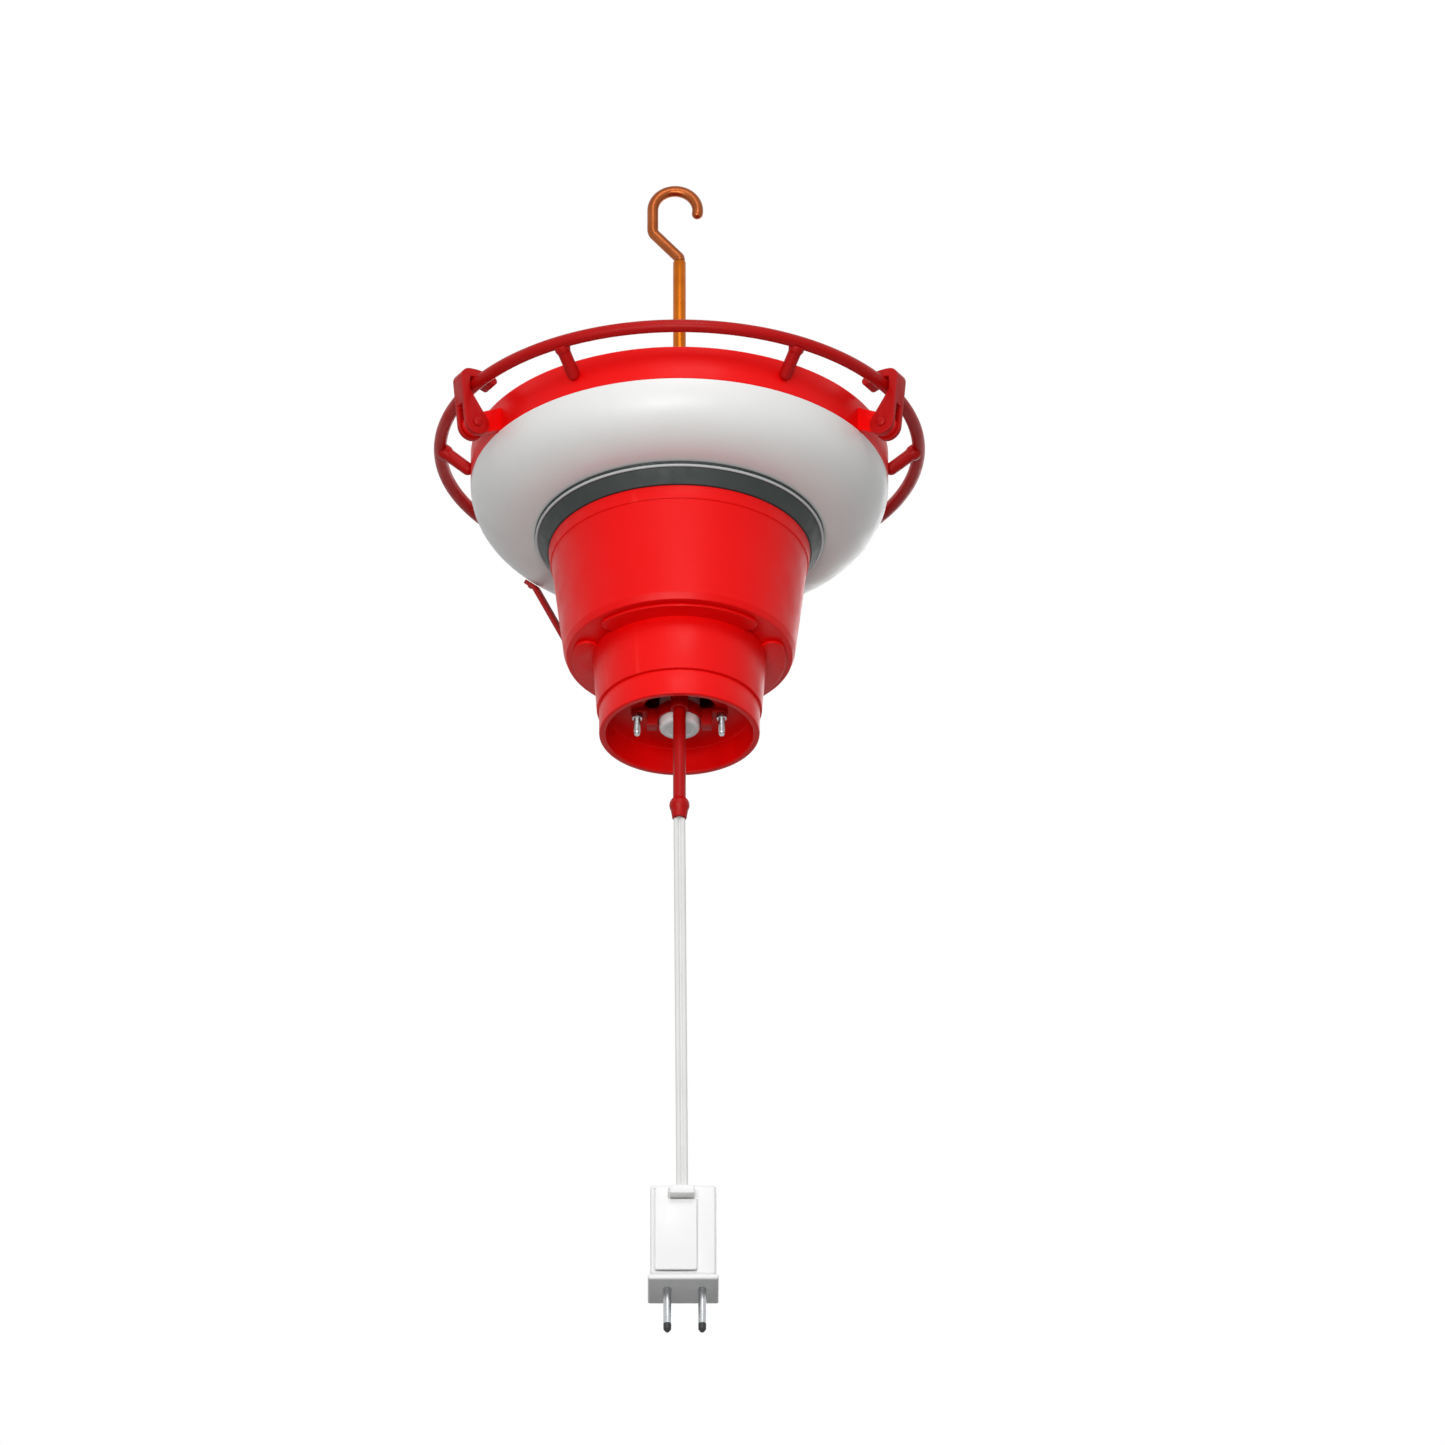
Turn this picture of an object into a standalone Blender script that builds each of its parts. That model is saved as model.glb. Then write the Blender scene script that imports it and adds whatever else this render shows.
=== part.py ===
"""Hanging poultry feeder with a mains lead, in metres with +Z up.

The origin is the point inside the hook's crown that bears on whatever the feeder hangs from. The feeder's
axis is Z, and its front is -Y. Radii build outwards from the motor pod, and heights build downwards from
the hook, so that a change of one size carries its neighbours with it.
"""

import math

import bmesh
import bpy
from mathutils import Matrix, Vector

MM = 0.001

# Clearances
FIT_GAP = 0.3 * MM
LATCH_GAP = 0.5 * MM
AGITATOR_GAP = 1.5 * MM
GROMMET_GAP = 0.5 * MM
SPIDER_RIB_GAP = 2.0 * MM
PAD_RELIEF = 0.1 * MM
WALL_RELIEF = 0.2 * MM
WELD = 0.001 * MM

# Facets round a turned piece
LARGE_STEPS = 36
SMALL_STEPS = 16
SMALL_SIDES = 8
RING_STEPS = 42
RING_SIDES = 8
WIRE_SIDES = 5

# Hook and rod
HOOK_WIRE = 6.0 * MM
HOOK_CROWN_RADIUS = 12.2 * MM
HOOK_CROWN_OFFSET = 2.3 * MM
HOOK_TIP_ANGLE = math.radians(-10)
HOOK_STRAIGHT = 14.1 * MM
HOOK_DIAGONAL_DROP = 16.0 * MM
HOOK_BEND_RADIUS = 5.0 * MM
HOOK_SHANK = 2.6 * MM
HOOK_SPIGOT_DIAMETER = 4.0 * MM
HOOK_SPIGOT_LENGTH = 9.0 * MM
ROD_DIAMETER = 7.0 * MM
ROD_TAIL = 3.0 * MM

# Swivel
BUSH_WALL = 1.6 * MM
BUSH_FLANGE_RADIUS = 8.0 * MM
BUSH_FLANGE = 1.5 * MM
WASHER_RADIUS = 9.0 * MM
WASHER_THICKNESS = 1.5 * MM
NUT_ACROSS_FLATS = 13.0 * MM
NUT_HEIGHT = 5.5 * MM

# Guard ring and its posts
RING_DROP = 160.0 * MM
RING_STANDOFF = 16.5 * MM
RING_TUBE = 7.0 * MM
POST_COUNT = 6
POST_HEAD_DIAMETER = 8.7 * MM
POST_FOOT_DIAMETER = 7.0 * MM
POST_SADDLE = 2.0 * MM
POST_FOOT_DROP = 9.6 * MM
POST_FOOT_OUT = 1.6 * MM

# Rim band
BAND_BELOW_RING = 3.0 * MM
BAND_HEIGHT = 20.0 * MM
BAND_WALL = 3.0 * MM
SEAT_WIDTH = 2.5 * MM
SEAT_DEPTH = 2.5 * MM
LEDGE_BELOW_SEAT = 3.6 * MM
LEDGE_THICKNESS = 2.5 * MM
LEDGE_WIDTH = 10.5 * MM

# Latches
LATCH_COUNT = 3
LATCH_FIRST_ANGLE = math.radians(90)
LATCH_PIVOT_OUT = -0.6 * MM
LATCH_PIVOT_DROP = 24.0 * MM
LATCH_WIDTH = 10.0 * MM
LATCH_BOSS_DIAMETER = 14.7 * MM
LATCH_ARM = 5.4 * MM
LATCH_HOOK = 5.0 * MM
LATCH_ROUND = 6.0 * MM
LATCH_FORK = 3.5 * MM
LATCH_TIP_REACH = 9.0 * MM
LUG_THICKNESS = 4.2 * MM
LUG_RADIUS = 6.0 * MM
LUG_ROOT_DROP = 5.0 * MM
LUG_ROOT_RISE = 1.0 * MM
PIN_DIAMETER = 3.0 * MM
PIN_HEAD_DIAMETER = 5.4 * MM
PIN_HEAD = 1.1 * MM

# Lid
LID_SHEET = 2.2 * MM
LID_STEP = 4.2 * MM
LID_RISE = 22.0 * MM
LID_CROWN_RADIUS = 15.0 * MM
GROMMET_WALL = 3.2 * MM
GROMMET_FLANGE = 3.0 * MM
GROMMET_FLANGE_THICKNESS = 1.8 * MM

# Hanger spider
SPIDER_ARM_COUNT = 3
SPIDER_FIRST_ANGLE = math.radians(30)
SPIDER_ARM_WIDTH = 12.0 * MM
SPIDER_PLATE = 3.0 * MM
SPIDER_RIB = 3.0 * MM
SPIDER_RIB_HEIGHT = 6.0 * MM
SPIDER_HUB_WALL = 5.5 * MM
SPIDER_HUB_HEIGHT = 12.0 * MM
HUB_PROUD = 1.0 * MM
SCREW_DIAMETER = 3.8 * MM
SCREW_HEAD_DIAMETER = 6.4 * MM
SCREW_HEAD = 2.2 * MM
SCREW_BITE = 2.0 * MM

# Bowl and gasket
BOWL_WALL = 2.5 * MM
BOWL_FLARE = 34.5 * MM
BOWL_DEPTH = 31.0 * MM
BOWL_ARC_STEPS = 6
GASKET_WIDTH = 8.6 * MM
GASKET_HEIGHT = 10.7 * MM
GASKET_FOOT = 1.6 * MM
GASKET_RING_WIRE = 1.6 * MM
GASKET_RING_PLACE = 0.2

# Hopper body
BODY_HEIGHT = 66.4 * MM
BODY_TAPER = 7.4 * MM
BODY_WALL = 3.0 * MM
BODY_CHAMFER = 1.5 * MM
BODY_CHAMFER_HEIGHT = 4.0 * MM
BODY_LIP_PROUD = 0.8 * MM
BODY_LIP_HEIGHT = 7.5 * MM
STEP_WIDTH = 14.2 * MM

# Side stay
STAY_ANGLE = math.radians(140)
STAY_THICKNESS = 2.4 * MM
STAY_WIDTH = 5.0 * MM
STAY_PAD = 8.0 * MM
STAY_BEND_RADIUS = 4.0 * MM
STAY_TOP_REACH = 25.0 * MM

# Neck, lock ring and funnel
NECK_RADIUS = 45.0 * MM
NECK_FLARE = 2.3 * MM
NECK_WALL = 3.0 * MM
NECK_LENGTH = 31.5 * MM
NECK_PAD_COUNT = 3
NECK_PAD_FIRST_ANGLE = math.radians(-90)
NECK_PAD_SWEEP = math.radians(88)
NECK_PAD_REACH = 10.7 * MM
NECK_PAD = 1.7 * MM
NECK_SPIGOT_INSET = 2.1 * MM
LOCK_RING_WIDTH = 6.5 * MM
LOCK_RING_HEIGHT = 5.0 * MM
SPIGOT_SPARE = 2.0 * MM
FUNNEL_WALL = 1.8 * MM
FUNNEL_HEIGHT = 28.0 * MM
FUNNEL_COLLAR = 4.0 * MM
FUNNEL_RIM = 2.0 * MM

# Outlet cap
CAP_PLATE = 2.5 * MM
CAP_SPIGOT_HEIGHT = 7.5 * MM
CAP_SPIGOT_WALL = 2.6 * MM
SKIRT_INSET = 1.3 * MM
SKIRT_WALL = 3.6 * MM
SKIRT_HEIGHT = 15.2 * MM
OUTLET_GAP = 9.0 * MM

# Motor pod
POD_RADIUS = 11.0 * MM
POD_WALL = 1.6 * MM
POD_FLOOR = 3.0 * MM
POD_HEIGHT = 26.6 * MM
POD_RECESS = 2.8 * MM
POD_EDGE = 1.5 * MM
COVER_THICKNESS = 2.5 * MM
COVER_SPIGOT = 2.6 * MM
SEAL_WALL = 2.8 * MM
SEAL_HEIGHT = 2.4 * MM
BRACKET_COLLAR = 1.2 * MM
BRACKET_COLLAR_HEIGHT = 6.8 * MM
BRACKET_WIDTH = 7.0 * MM
BRACKET_ARM_REACH = 6.4 * MM
BRACKET_TAB = 2.0 * MM
BRACKET_TAB_END = 3.4 * MM
GLAND_WALL = 1.7 * MM
GLAND_DROP = 1.5 * MM
GLAND_ROOF = 0.5 * MM
STUD_SHANK = 2.8 * MM
STUD_DIAMETER = 3.8 * MM
STUD_INSET = 3.0 * MM
STUD_PROUD = 0.5 * MM
STUD_EDGE = 0.5 * MM

# Agitator
SHAFT_DIAMETER = 4.0 * MM
SHAFT_SEAT = 8.0 * MM
SHAFT_PROUD = 2.0 * MM
HUB_RADIUS = 6.0 * MM
HUB_HEIGHT = 9.0 * MM
AGITATOR_ROD = 4.6 * MM
AGITATOR_ARM_COUNT = 3
AGITATOR_BEND_RADIUS = 6.0 * MM

# Conduit and strain relief
CONDUIT_DIAMETER = 7.0 * MM
CONDUIT_BORE = 4.6 * MM
CONDUIT_SPIGOT = 5.8 * MM
CONDUIT_LENGTH = 60.6 * MM
CONDUIT_GAP = 0.5 * MM
LEAD_BEND_RADIUS = 3.0 * MM
RELIEF_BALL = 11.0 * MM
RELIEF_TIP = 8.3 * MM
RELIEF_TIP_DIAMETER = 7.8 * MM
RELIEF_TAPER = 0.8 * MM
RELIEF_SOCKET = 3.5 * MM

# Lead and adapter
CORD_DIAMETER = 6.4 * MM
CORD_LENGTH = 233.1 * MM
CORD_DRIFT = 1.5 * MM
CORD_SPANS = 16
GRIP_WIDTH = 13.6 * MM
GRIP_HEIGHT = 5.4 * MM
GRIP_PROUD = 6.7 * MM
GRIP_CORD_OUT = 3.6 * MM
GRIP_EDGE = 0.8 * MM
CASE_WIDTH = 36.0 * MM
CASE_DEPTH = 25.0 * MM
CASE_HEIGHT = 56.8 * MM
CASE_RISE = 4.0 * MM
CASE_EDGE = 2.0 * MM
CASE_OFFSET = 0.6 * MM
PANEL_LEFT = 15.4 * MM
PANEL_RIGHT = 7.4 * MM
PANEL_DROP = 3.0 * MM
PANEL_RISE = 2.0 * MM
PANEL_THICKNESS = 1.4 * MM
PANEL_EDGE = 0.6 * MM
PANEL_NOTCH = 0.8 * MM
BASE_WIDTH = 38.6 * MM
BASE_DEPTH = 27.0 * MM
BASE_HEIGHT = 3.4 * MM
BASE_EDGE = 0.8 * MM
PLUG_PIN_SPACING = 19.0 * MM
PLUG_PIN_DIAMETER = 4.4 * MM
PLUG_PIN_LENGTH = 27.0 * MM
PLUG_PIN_DEPTH = 9.6 * MM
PLUG_PIN_OFFSET = 0.8 * MM

# Radii, from the axis outwards
ROD_RADIUS = ROD_DIAMETER / 2
OUTLET_RADIUS = POD_RADIUS + OUTLET_GAP
CONDUIT_OUT = POD_RADIUS + CONDUIT_GAP + CONDUIT_DIAMETER / 2
NECK_BORE = NECK_RADIUS - NECK_WALL
NECK_TOP_RADIUS = NECK_RADIUS + NECK_FLARE
NECK_SPIGOT_RADIUS = NECK_TOP_RADIUS - NECK_SPIGOT_INSET
SKIRT_RADIUS = NECK_RADIUS - SKIRT_INSET
BODY_FOOT_RADIUS = NECK_TOP_RADIUS + STEP_WIDTH
BODY_EDGE_RADIUS = BODY_FOOT_RADIUS + BODY_CHAMFER
BODY_TOP_RADIUS = BODY_EDGE_RADIUS + BODY_TAPER
BOWL_FLOOR_RADIUS = BODY_TOP_RADIUS + GASKET_WIDTH
BAND_RADIUS = BOWL_FLOOR_RADIUS + BOWL_FLARE
BAND_BORE = BAND_RADIUS - BAND_WALL
SEAT_RADIUS = BAND_BORE - SEAT_WIDTH
LEDGE_RADIUS = SEAT_RADIUS - LEDGE_WIDTH
RIM_SCREW_RADIUS = LEDGE_RADIUS + LEDGE_WIDTH / 2
RING_RADIUS = BAND_RADIUS + RING_STANDOFF
PIVOT_RADIUS = RING_RADIUS + LATCH_PIVOT_OUT

# Heights, from the hook downwards
CROWN_Z = -math.sqrt((HOOK_CROWN_RADIUS - HOOK_WIRE / 2) ** 2 - HOOK_CROWN_OFFSET**2)
SHANK_Z = CROWN_Z - HOOK_STRAIGHT - HOOK_DIAGONAL_DROP
ROD_TOP_Z = SHANK_Z - HOOK_SHANK
RING_Z = -RING_DROP
PIVOT_Z = RING_Z - LATCH_PIVOT_DROP
BAND_TOP_Z = RING_Z - BAND_BELOW_RING
BAND_BOTTOM_Z = BAND_TOP_Z - BAND_HEIGHT
SEAT_Z = BAND_TOP_Z - SEAT_DEPTH
LEDGE_TOP_Z = SEAT_Z - LEDGE_BELOW_SEAT
LEDGE_BOTTOM_Z = LEDGE_TOP_Z - LEDGE_THICKNESS
SPIDER_Z = LEDGE_TOP_Z + FIT_GAP
SPIDER_TOP_Z = SPIDER_Z + SPIDER_PLATE
HUB_BOTTOM_Z = SPIDER_TOP_Z - SPIDER_HUB_HEIGHT
BOWL_FLANGE_Z = LEDGE_BOTTOM_Z - FIT_GAP
BOWL_TOP_Z = BAND_BOTTOM_Z - FIT_GAP
BOWL_FLOOR_Z = BOWL_TOP_Z - BOWL_DEPTH
GASKET_TOP_Z = BOWL_FLOOR_Z - FIT_GAP
GASKET_BOTTOM_Z = GASKET_TOP_Z - GASKET_HEIGHT
LIP_TOP_Z = GASKET_BOTTOM_Z - FIT_GAP
LIP_BOTTOM_Z = LIP_TOP_Z - BODY_LIP_HEIGHT
BODY_BOTTOM_Z = LIP_TOP_Z - BODY_HEIGHT
BODY_EDGE_Z = BODY_BOTTOM_Z + BODY_CHAMFER_HEIGHT
BODY_FLANGE_Z = BOWL_FLOOR_Z + BOWL_WALL + FIT_GAP
BODY_TOP_Z = BODY_FLANGE_Z + BODY_WALL
STEP_FLOOR_Z = BODY_BOTTOM_Z + BODY_WALL
NECK_TOP_Z = BODY_BOTTOM_Z - FIT_GAP
NECK_BOTTOM_Z = NECK_TOP_Z - NECK_PAD - NECK_LENGTH
LOCK_RING_Z = STEP_FLOOR_Z + FIT_GAP
SPIGOT_TOP_Z = LOCK_RING_Z + LOCK_RING_HEIGHT + SPIGOT_SPARE
CAP_Z = NECK_BOTTOM_Z - FIT_GAP
PLATE_TOP_Z = CAP_Z + CAP_PLATE
SKIRT_BOTTOM_Z = CAP_Z - SKIRT_HEIGHT
POD_BOTTOM_Z = SKIRT_BOTTOM_Z + POD_RECESS
POD_TOP_Z = POD_BOTTOM_Z + POD_HEIGHT
MOTOR_BOTTOM_Z = POD_BOTTOM_Z + POD_FLOOR + FIT_GAP
COVER_Z = POD_TOP_Z + FIT_GAP
MOTOR_TOP_Z = COVER_Z - COVER_SPIGOT - FIT_GAP
COVER_TOP_Z = COVER_Z + COVER_THICKNESS
BRACKET_TOP_Z = CAP_Z - FIT_GAP
COLLAR_BOTTOM_Z = BRACKET_TOP_Z - BRACKET_COLLAR_HEIGHT
GLAND_BOTTOM_Z = COLLAR_BOTTOM_Z - GLAND_DROP
LEAD_PORT_Z = BRACKET_TOP_Z - WALL_RELIEF - GLAND_ROOF - CONDUIT_BORE / 2
BALL_Z = GLAND_BOTTOM_Z - CONDUIT_LENGTH
TIP_Z = BALL_Z - RELIEF_TIP
CORD_TOP_Z = TIP_Z - FIT_GAP
GRIP_TOP_Z = CORD_TOP_Z - CORD_LENGTH - FIT_GAP
CASE_TOP_Z = GRIP_TOP_Z + CASE_RISE
BASE_TOP_Z = CASE_TOP_Z - CASE_HEIGHT - FIT_GAP
BASE_BOTTOM_Z = BASE_TOP_Z - BASE_HEIGHT

COLOURS = {
    "copper_wire": ("B4703C", 0.35, 1.0),
    "brass_rod": ("C8862A", 0.32, 1.0),
    "red_plastic": ("E00A0A", 0.4, 0.0),
    "white_plastic": ("F0F0EE", 0.4, 0.0),
    "black_rubber": ("2C3634", 0.7, 0.0),
    "pale_ring": ("C8CCCC", 0.4, 0.0),
    "steel": ("B8BABC", 0.3, 1.0),
    "nylon": ("E4E0D2", 0.5, 0.0),
    "motor_steel": ("8E9194", 0.4, 1.0),
    "white_flex": ("E8E8E6", 0.5, 0.0),
}


def linear(channel):
    return channel / 12.92 if channel <= 0.04045 else ((channel + 0.055) / 1.055) ** 2.4


def make_materials():
    made = {}
    for name, (hexadecimal, roughness, metallic) in COLOURS.items():
        channels = [linear(int(hexadecimal[i : i + 2], 16) / 255) for i in (0, 2, 4)]
        finish = bpy.data.materials.new(name)
        finish.use_nodes = True
        shader = finish.node_tree.nodes["Principled BSDF"]
        shader.inputs["Base Color"].default_value = (*channels, 1)
        shader.inputs["Roughness"].default_value = roughness
        shader.inputs["Metallic"].default_value = metallic
        made[name] = finish
    return made


def clear_scene():
    for thing in list(bpy.data.objects):
        bpy.data.objects.remove(thing)


def new_collection(name):
    made = bpy.data.collections.new(name)
    bpy.context.scene.collection.children.link(made)
    return made


clear_scene()
PARTS = new_collection("poultry_feeder")
CUTTERS = new_collection("cutters")
FINISH = make_materials()


def empty(name, place=(0, 0, 0), turn=0.0, parent=None):
    """A frame on a joint's axis, turned about Z, that carries what moves there."""
    frame = bpy.data.objects.new(name, None)
    frame.location = place
    frame.rotation_euler = (0, 0, turn)
    frame.parent = parent
    PARTS.objects.link(frame)
    return frame


def part(name, shape, finish, place=(0, 0, 0), turn=(0, 0, 0), parent=None):
    thing = bpy.data.objects.new(name, shape)
    thing.location = place
    thing.rotation_euler = turn
    thing.parent = parent
    if not shape.materials:
        shape.materials.append(FINISH[finish])
    PARTS.objects.link(thing)
    return thing


def cutter(name, shape, place=(0, 0, 0), turn=(0, 0, 0)):
    thing = bpy.data.objects.new(name, shape)
    thing.location = place
    thing.rotation_euler = turn
    thing.hide_render = True
    thing.display_type = "WIRE"
    CUTTERS.objects.link(thing)
    return thing


def combine(thing, other, operation):
    modifier = thing.modifiers.new(operation.lower(), "BOOLEAN")
    modifier.operation = operation
    modifier.object = other


def smooth(shape):
    shape.shade_smooth()
    shape.set_sharp_from_angle(angle=math.radians(35))
    return shape


def frozen(thing):
    """The mesh of an object with its modifiers applied. The object itself goes."""
    bpy.context.view_layer.update()
    evaluated = thing.evaluated_get(bpy.context.evaluated_depsgraph_get())
    shape = bpy.data.meshes.new_from_object(evaluated)
    bpy.data.objects.remove(thing)
    edit = bmesh.new()
    edit.from_mesh(shape)
    bmesh.ops.remove_doubles(edit, verts=edit.verts, dist=WELD)
    bmesh.ops.recalc_face_normals(edit, faces=edit.faces)
    edit.to_mesh(shape)
    edit.free()
    return smooth(shape)


def loose(name, data):
    thing = bpy.data.objects.new(name, data)
    CUTTERS.objects.link(thing)
    return thing


def turned(name, profile, steps=LARGE_STEPS):
    """A profile of (radius, height) points turned about Z. It runs over the top and down outside."""
    on_axis = abs(profile[0][0]) < WELD and abs(profile[-1][0]) < WELD
    links = [(i, i + 1) for i in range(len(profile) - 1)]
    if not on_axis:
        links.append((len(profile) - 1, 0))
    outline = bpy.data.meshes.new(name)
    outline.from_pydata([(radius, 0, height) for radius, height in profile], links, [])
    thing = loose(name, outline)
    screw = thing.modifiers.new("turn", "SCREW")
    screw.axis = "Z"
    screw.angle = math.tau
    screw.steps = steps
    screw.render_steps = steps
    screw.use_merge_vertices = True
    screw.merge_threshold = WELD
    return frozen(thing)


def ring_profile(inner, outer, top, bottom):
    return [(inner, top), (outer, top), (outer, bottom), (inner, bottom)]


def extruded(name, outline, thickness):
    """A closed outline of 2D points, given thickness along Z on both sides of its plane."""
    curve = bpy.data.curves.new(name, "CURVE")
    curve.dimensions = "2D"
    curve.fill_mode = "BOTH"
    curve.extrude = thickness / 2
    spline = curve.splines.new("POLY")
    spline.points.add(len(outline) - 1)
    for point, place in zip(spline.points, outline):
        point.co = (place[0], place[1], 0, 1)
    spline.use_cyclic_u = True
    return frozen(loose(name, curve))


def tube(name, points, diameter, resolution=2, thins=None):
    """A round rod along 3D points. thins gives each point's share of the diameter, where it isn't 1."""
    curve = bpy.data.curves.new(name, "CURVE")
    curve.dimensions = "3D"
    curve.bevel_depth = diameter / 2
    curve.bevel_resolution = resolution
    curve.use_fill_caps = True
    spline = curve.splines.new("POLY")
    spline.points.add(len(points) - 1)
    for index, place in enumerate(points):
        spline.points[index].co = (*place, 1)
        if thins:
            spline.points[index].radius = thins[index]
    return curve


def box(name, low, high, edge=0.0):
    """A block between two corners, with its edges rounded if edge is given."""
    shape = bpy.data.meshes.new(name)
    edit = bmesh.new()
    bmesh.ops.create_cube(edit, size=1)
    for vertex in edit.verts:
        for axis in range(3):
            vertex.co[axis] = low[axis] + (vertex.co[axis] + 0.5) * (high[axis] - low[axis])
    edit.to_mesh(shape)
    edit.free()
    if not edge:
        return shape
    thing = loose(name, shape)
    rounding = thing.modifiers.new("edges", "BEVEL")
    rounding.width = edge
    rounding.segments = 2
    return frozen(thing)


def ring_of(name, shape, place, count, first):
    """Copies of one mesh as a single mesh, set out round Z. place is the first copy's spot, unturned."""
    edit = bmesh.new()
    for index in range(count):
        copy = shape.copy()
        turn = Matrix.Rotation(first + math.tau * index / count, 4, "Z")
        copy.transform(turn @ Matrix.Translation(place))
        edit.from_mesh(copy)
    made = bpy.data.meshes.new(name)
    edit.to_mesh(made)
    edit.free()
    return made


def cylinder(name, radius, top, bottom, steps=SMALL_STEPS):
    return turned(name, [(0, top), (radius, top), (radius, bottom), (0, bottom)], steps)


def upright(shape):
    """Stands an extruded outline up: its x runs outwards, its y upwards, and its thickness sideways."""
    shape.transform(Matrix.Rotation(math.pi / 2, 4, "X"))
    return shape


def arc(centre, radius, start, end, count):
    points = []
    for step in range(count + 1):
        angle = start + (end - start) * step / count
        points.append(Vector((centre[0] + radius * math.cos(angle), centre[1] + radius * math.sin(angle))))
    return points


def tangent_angle(point, radius, side):
    """Where a line from a point touches a circle round the origin, on one side of it or the other."""
    away = math.hypot(*point)
    return math.atan2(point[1], point[0]) + side * math.acos(radius / away)


def rounded_path(corners, radius, count):
    """A line through corners, with every corner between its ends rounded."""
    path = [corners[0]]
    for before, corner, after in zip(corners, corners[1:], corners[2:]):
        back = (before - corner).normalized()
        ahead = (after - corner).normalized()
        half = back.angle(ahead) / 2
        centre = corner + (back + ahead).normalized() * (radius / math.sin(half))
        start = corner + back * (radius / math.tan(half)) - centre
        sweep = math.copysign(math.pi - 2 * half, back.y * ahead.x - back.x * ahead.y)
        first = math.atan2(start.y, start.x)
        path += arc(centre, radius, first, first + sweep, count)
    return path + [corners[-1]]


def strip(path, thickness):
    """The outline of a bent strip of even thickness along a path."""
    left = []
    right = []
    for index, point in enumerate(path):
        ahead = path[min(index + 1, len(path) - 1)] - path[max(index - 1, 0)]
        across = Vector((-ahead.y, ahead.x)).normalized() * (thickness / 2)
        left.append(point + across)
        right.append(point - across)
    return left + right[::-1]


def polar(radius, angle, height):
    return (radius * math.cos(angle), radius * math.sin(angle), height)


def in_plane(path):
    """Points of (x, height) as 3D points in the plane of the hook."""
    return [(point[0], 0, point[1]) for point in path]


def body_radius(height):
    """Outer radius of the hopper body's tapered wall."""
    return BODY_TOP_RADIUS + (height - LIP_TOP_Z) * BODY_TAPER / (LIP_TOP_Z - BODY_EDGE_Z)


def make_hook(parent):
    centre = (-HOOK_CROWN_OFFSET, CROWN_Z)
    crown = arc(centre, HOOK_CROWN_RADIUS, HOOK_TIP_ANGLE, math.pi, 12)
    corners = [
        crown[-1],
        Vector((crown[-1].x, CROWN_Z - HOOK_STRAIGHT)),
        Vector((0, SHANK_Z)),
        Vector((0, ROD_TOP_Z + FIT_GAP)),
    ]
    path = crown[:-1] + rounded_path(corners, HOOK_BEND_RADIUS, 4)
    spigot = [Vector((0, ROD_TOP_Z + FIT_GAP - WELD)), Vector((0, ROD_TOP_Z - HOOK_SPIGOT_LENGTH))]
    thin = HOOK_SPIGOT_DIAMETER / HOOK_WIRE
    shape = tube("hook", in_plane(path + spigot), HOOK_WIRE, 2, [1] * len(path) + [thin, thin])
    part("hook", shape, "copper_wire", parent=parent)


def make_rod(parent):
    bush_bottom = HUB_BOTTOM_Z - FIT_GAP - BUSH_FLANGE
    washer_top = bush_bottom - FIT_GAP
    nut_top = washer_top - WASHER_THICKNESS - FIT_GAP
    nut_bottom = nut_top - NUT_HEIGHT
    rod_bottom = nut_bottom - ROD_TAIL
    socket_radius = HOOK_SPIGOT_DIAMETER / 2 + FIT_GAP
    socket_bottom = ROD_TOP_Z - HOOK_SPIGOT_LENGTH - FIT_GAP
    rod = [
        (0, socket_bottom),
        (socket_radius, socket_bottom),
        (socket_radius, ROD_TOP_Z),
        (ROD_RADIUS, ROD_TOP_Z),
        (ROD_RADIUS, rod_bottom),
        (0, rod_bottom),
    ]
    part("hanger_rod", turned("hanger_rod", rod, SMALL_STEPS), "brass_rod", parent=parent)
    bore = ROD_RADIUS + FIT_GAP
    washer = ring_profile(bore, WASHER_RADIUS, washer_top, washer_top - WASHER_THICKNESS)
    part("swivel_washer", turned("swivel_washer", washer, SMALL_STEPS), "steel", parent=parent)
    corner = NUT_ACROSS_FLATS / 2 / math.cos(math.pi / 6)
    nut = part("swivel_nut", cylinder("swivel_nut", corner, nut_top, nut_bottom, 6), "steel", parent=parent)
    drill = cylinder("nut_bore", bore, nut_top + NUT_HEIGHT, nut_bottom - NUT_HEIGHT)
    combine(nut, cutter("nut_bore", drill), "DIFFERENCE")


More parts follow.
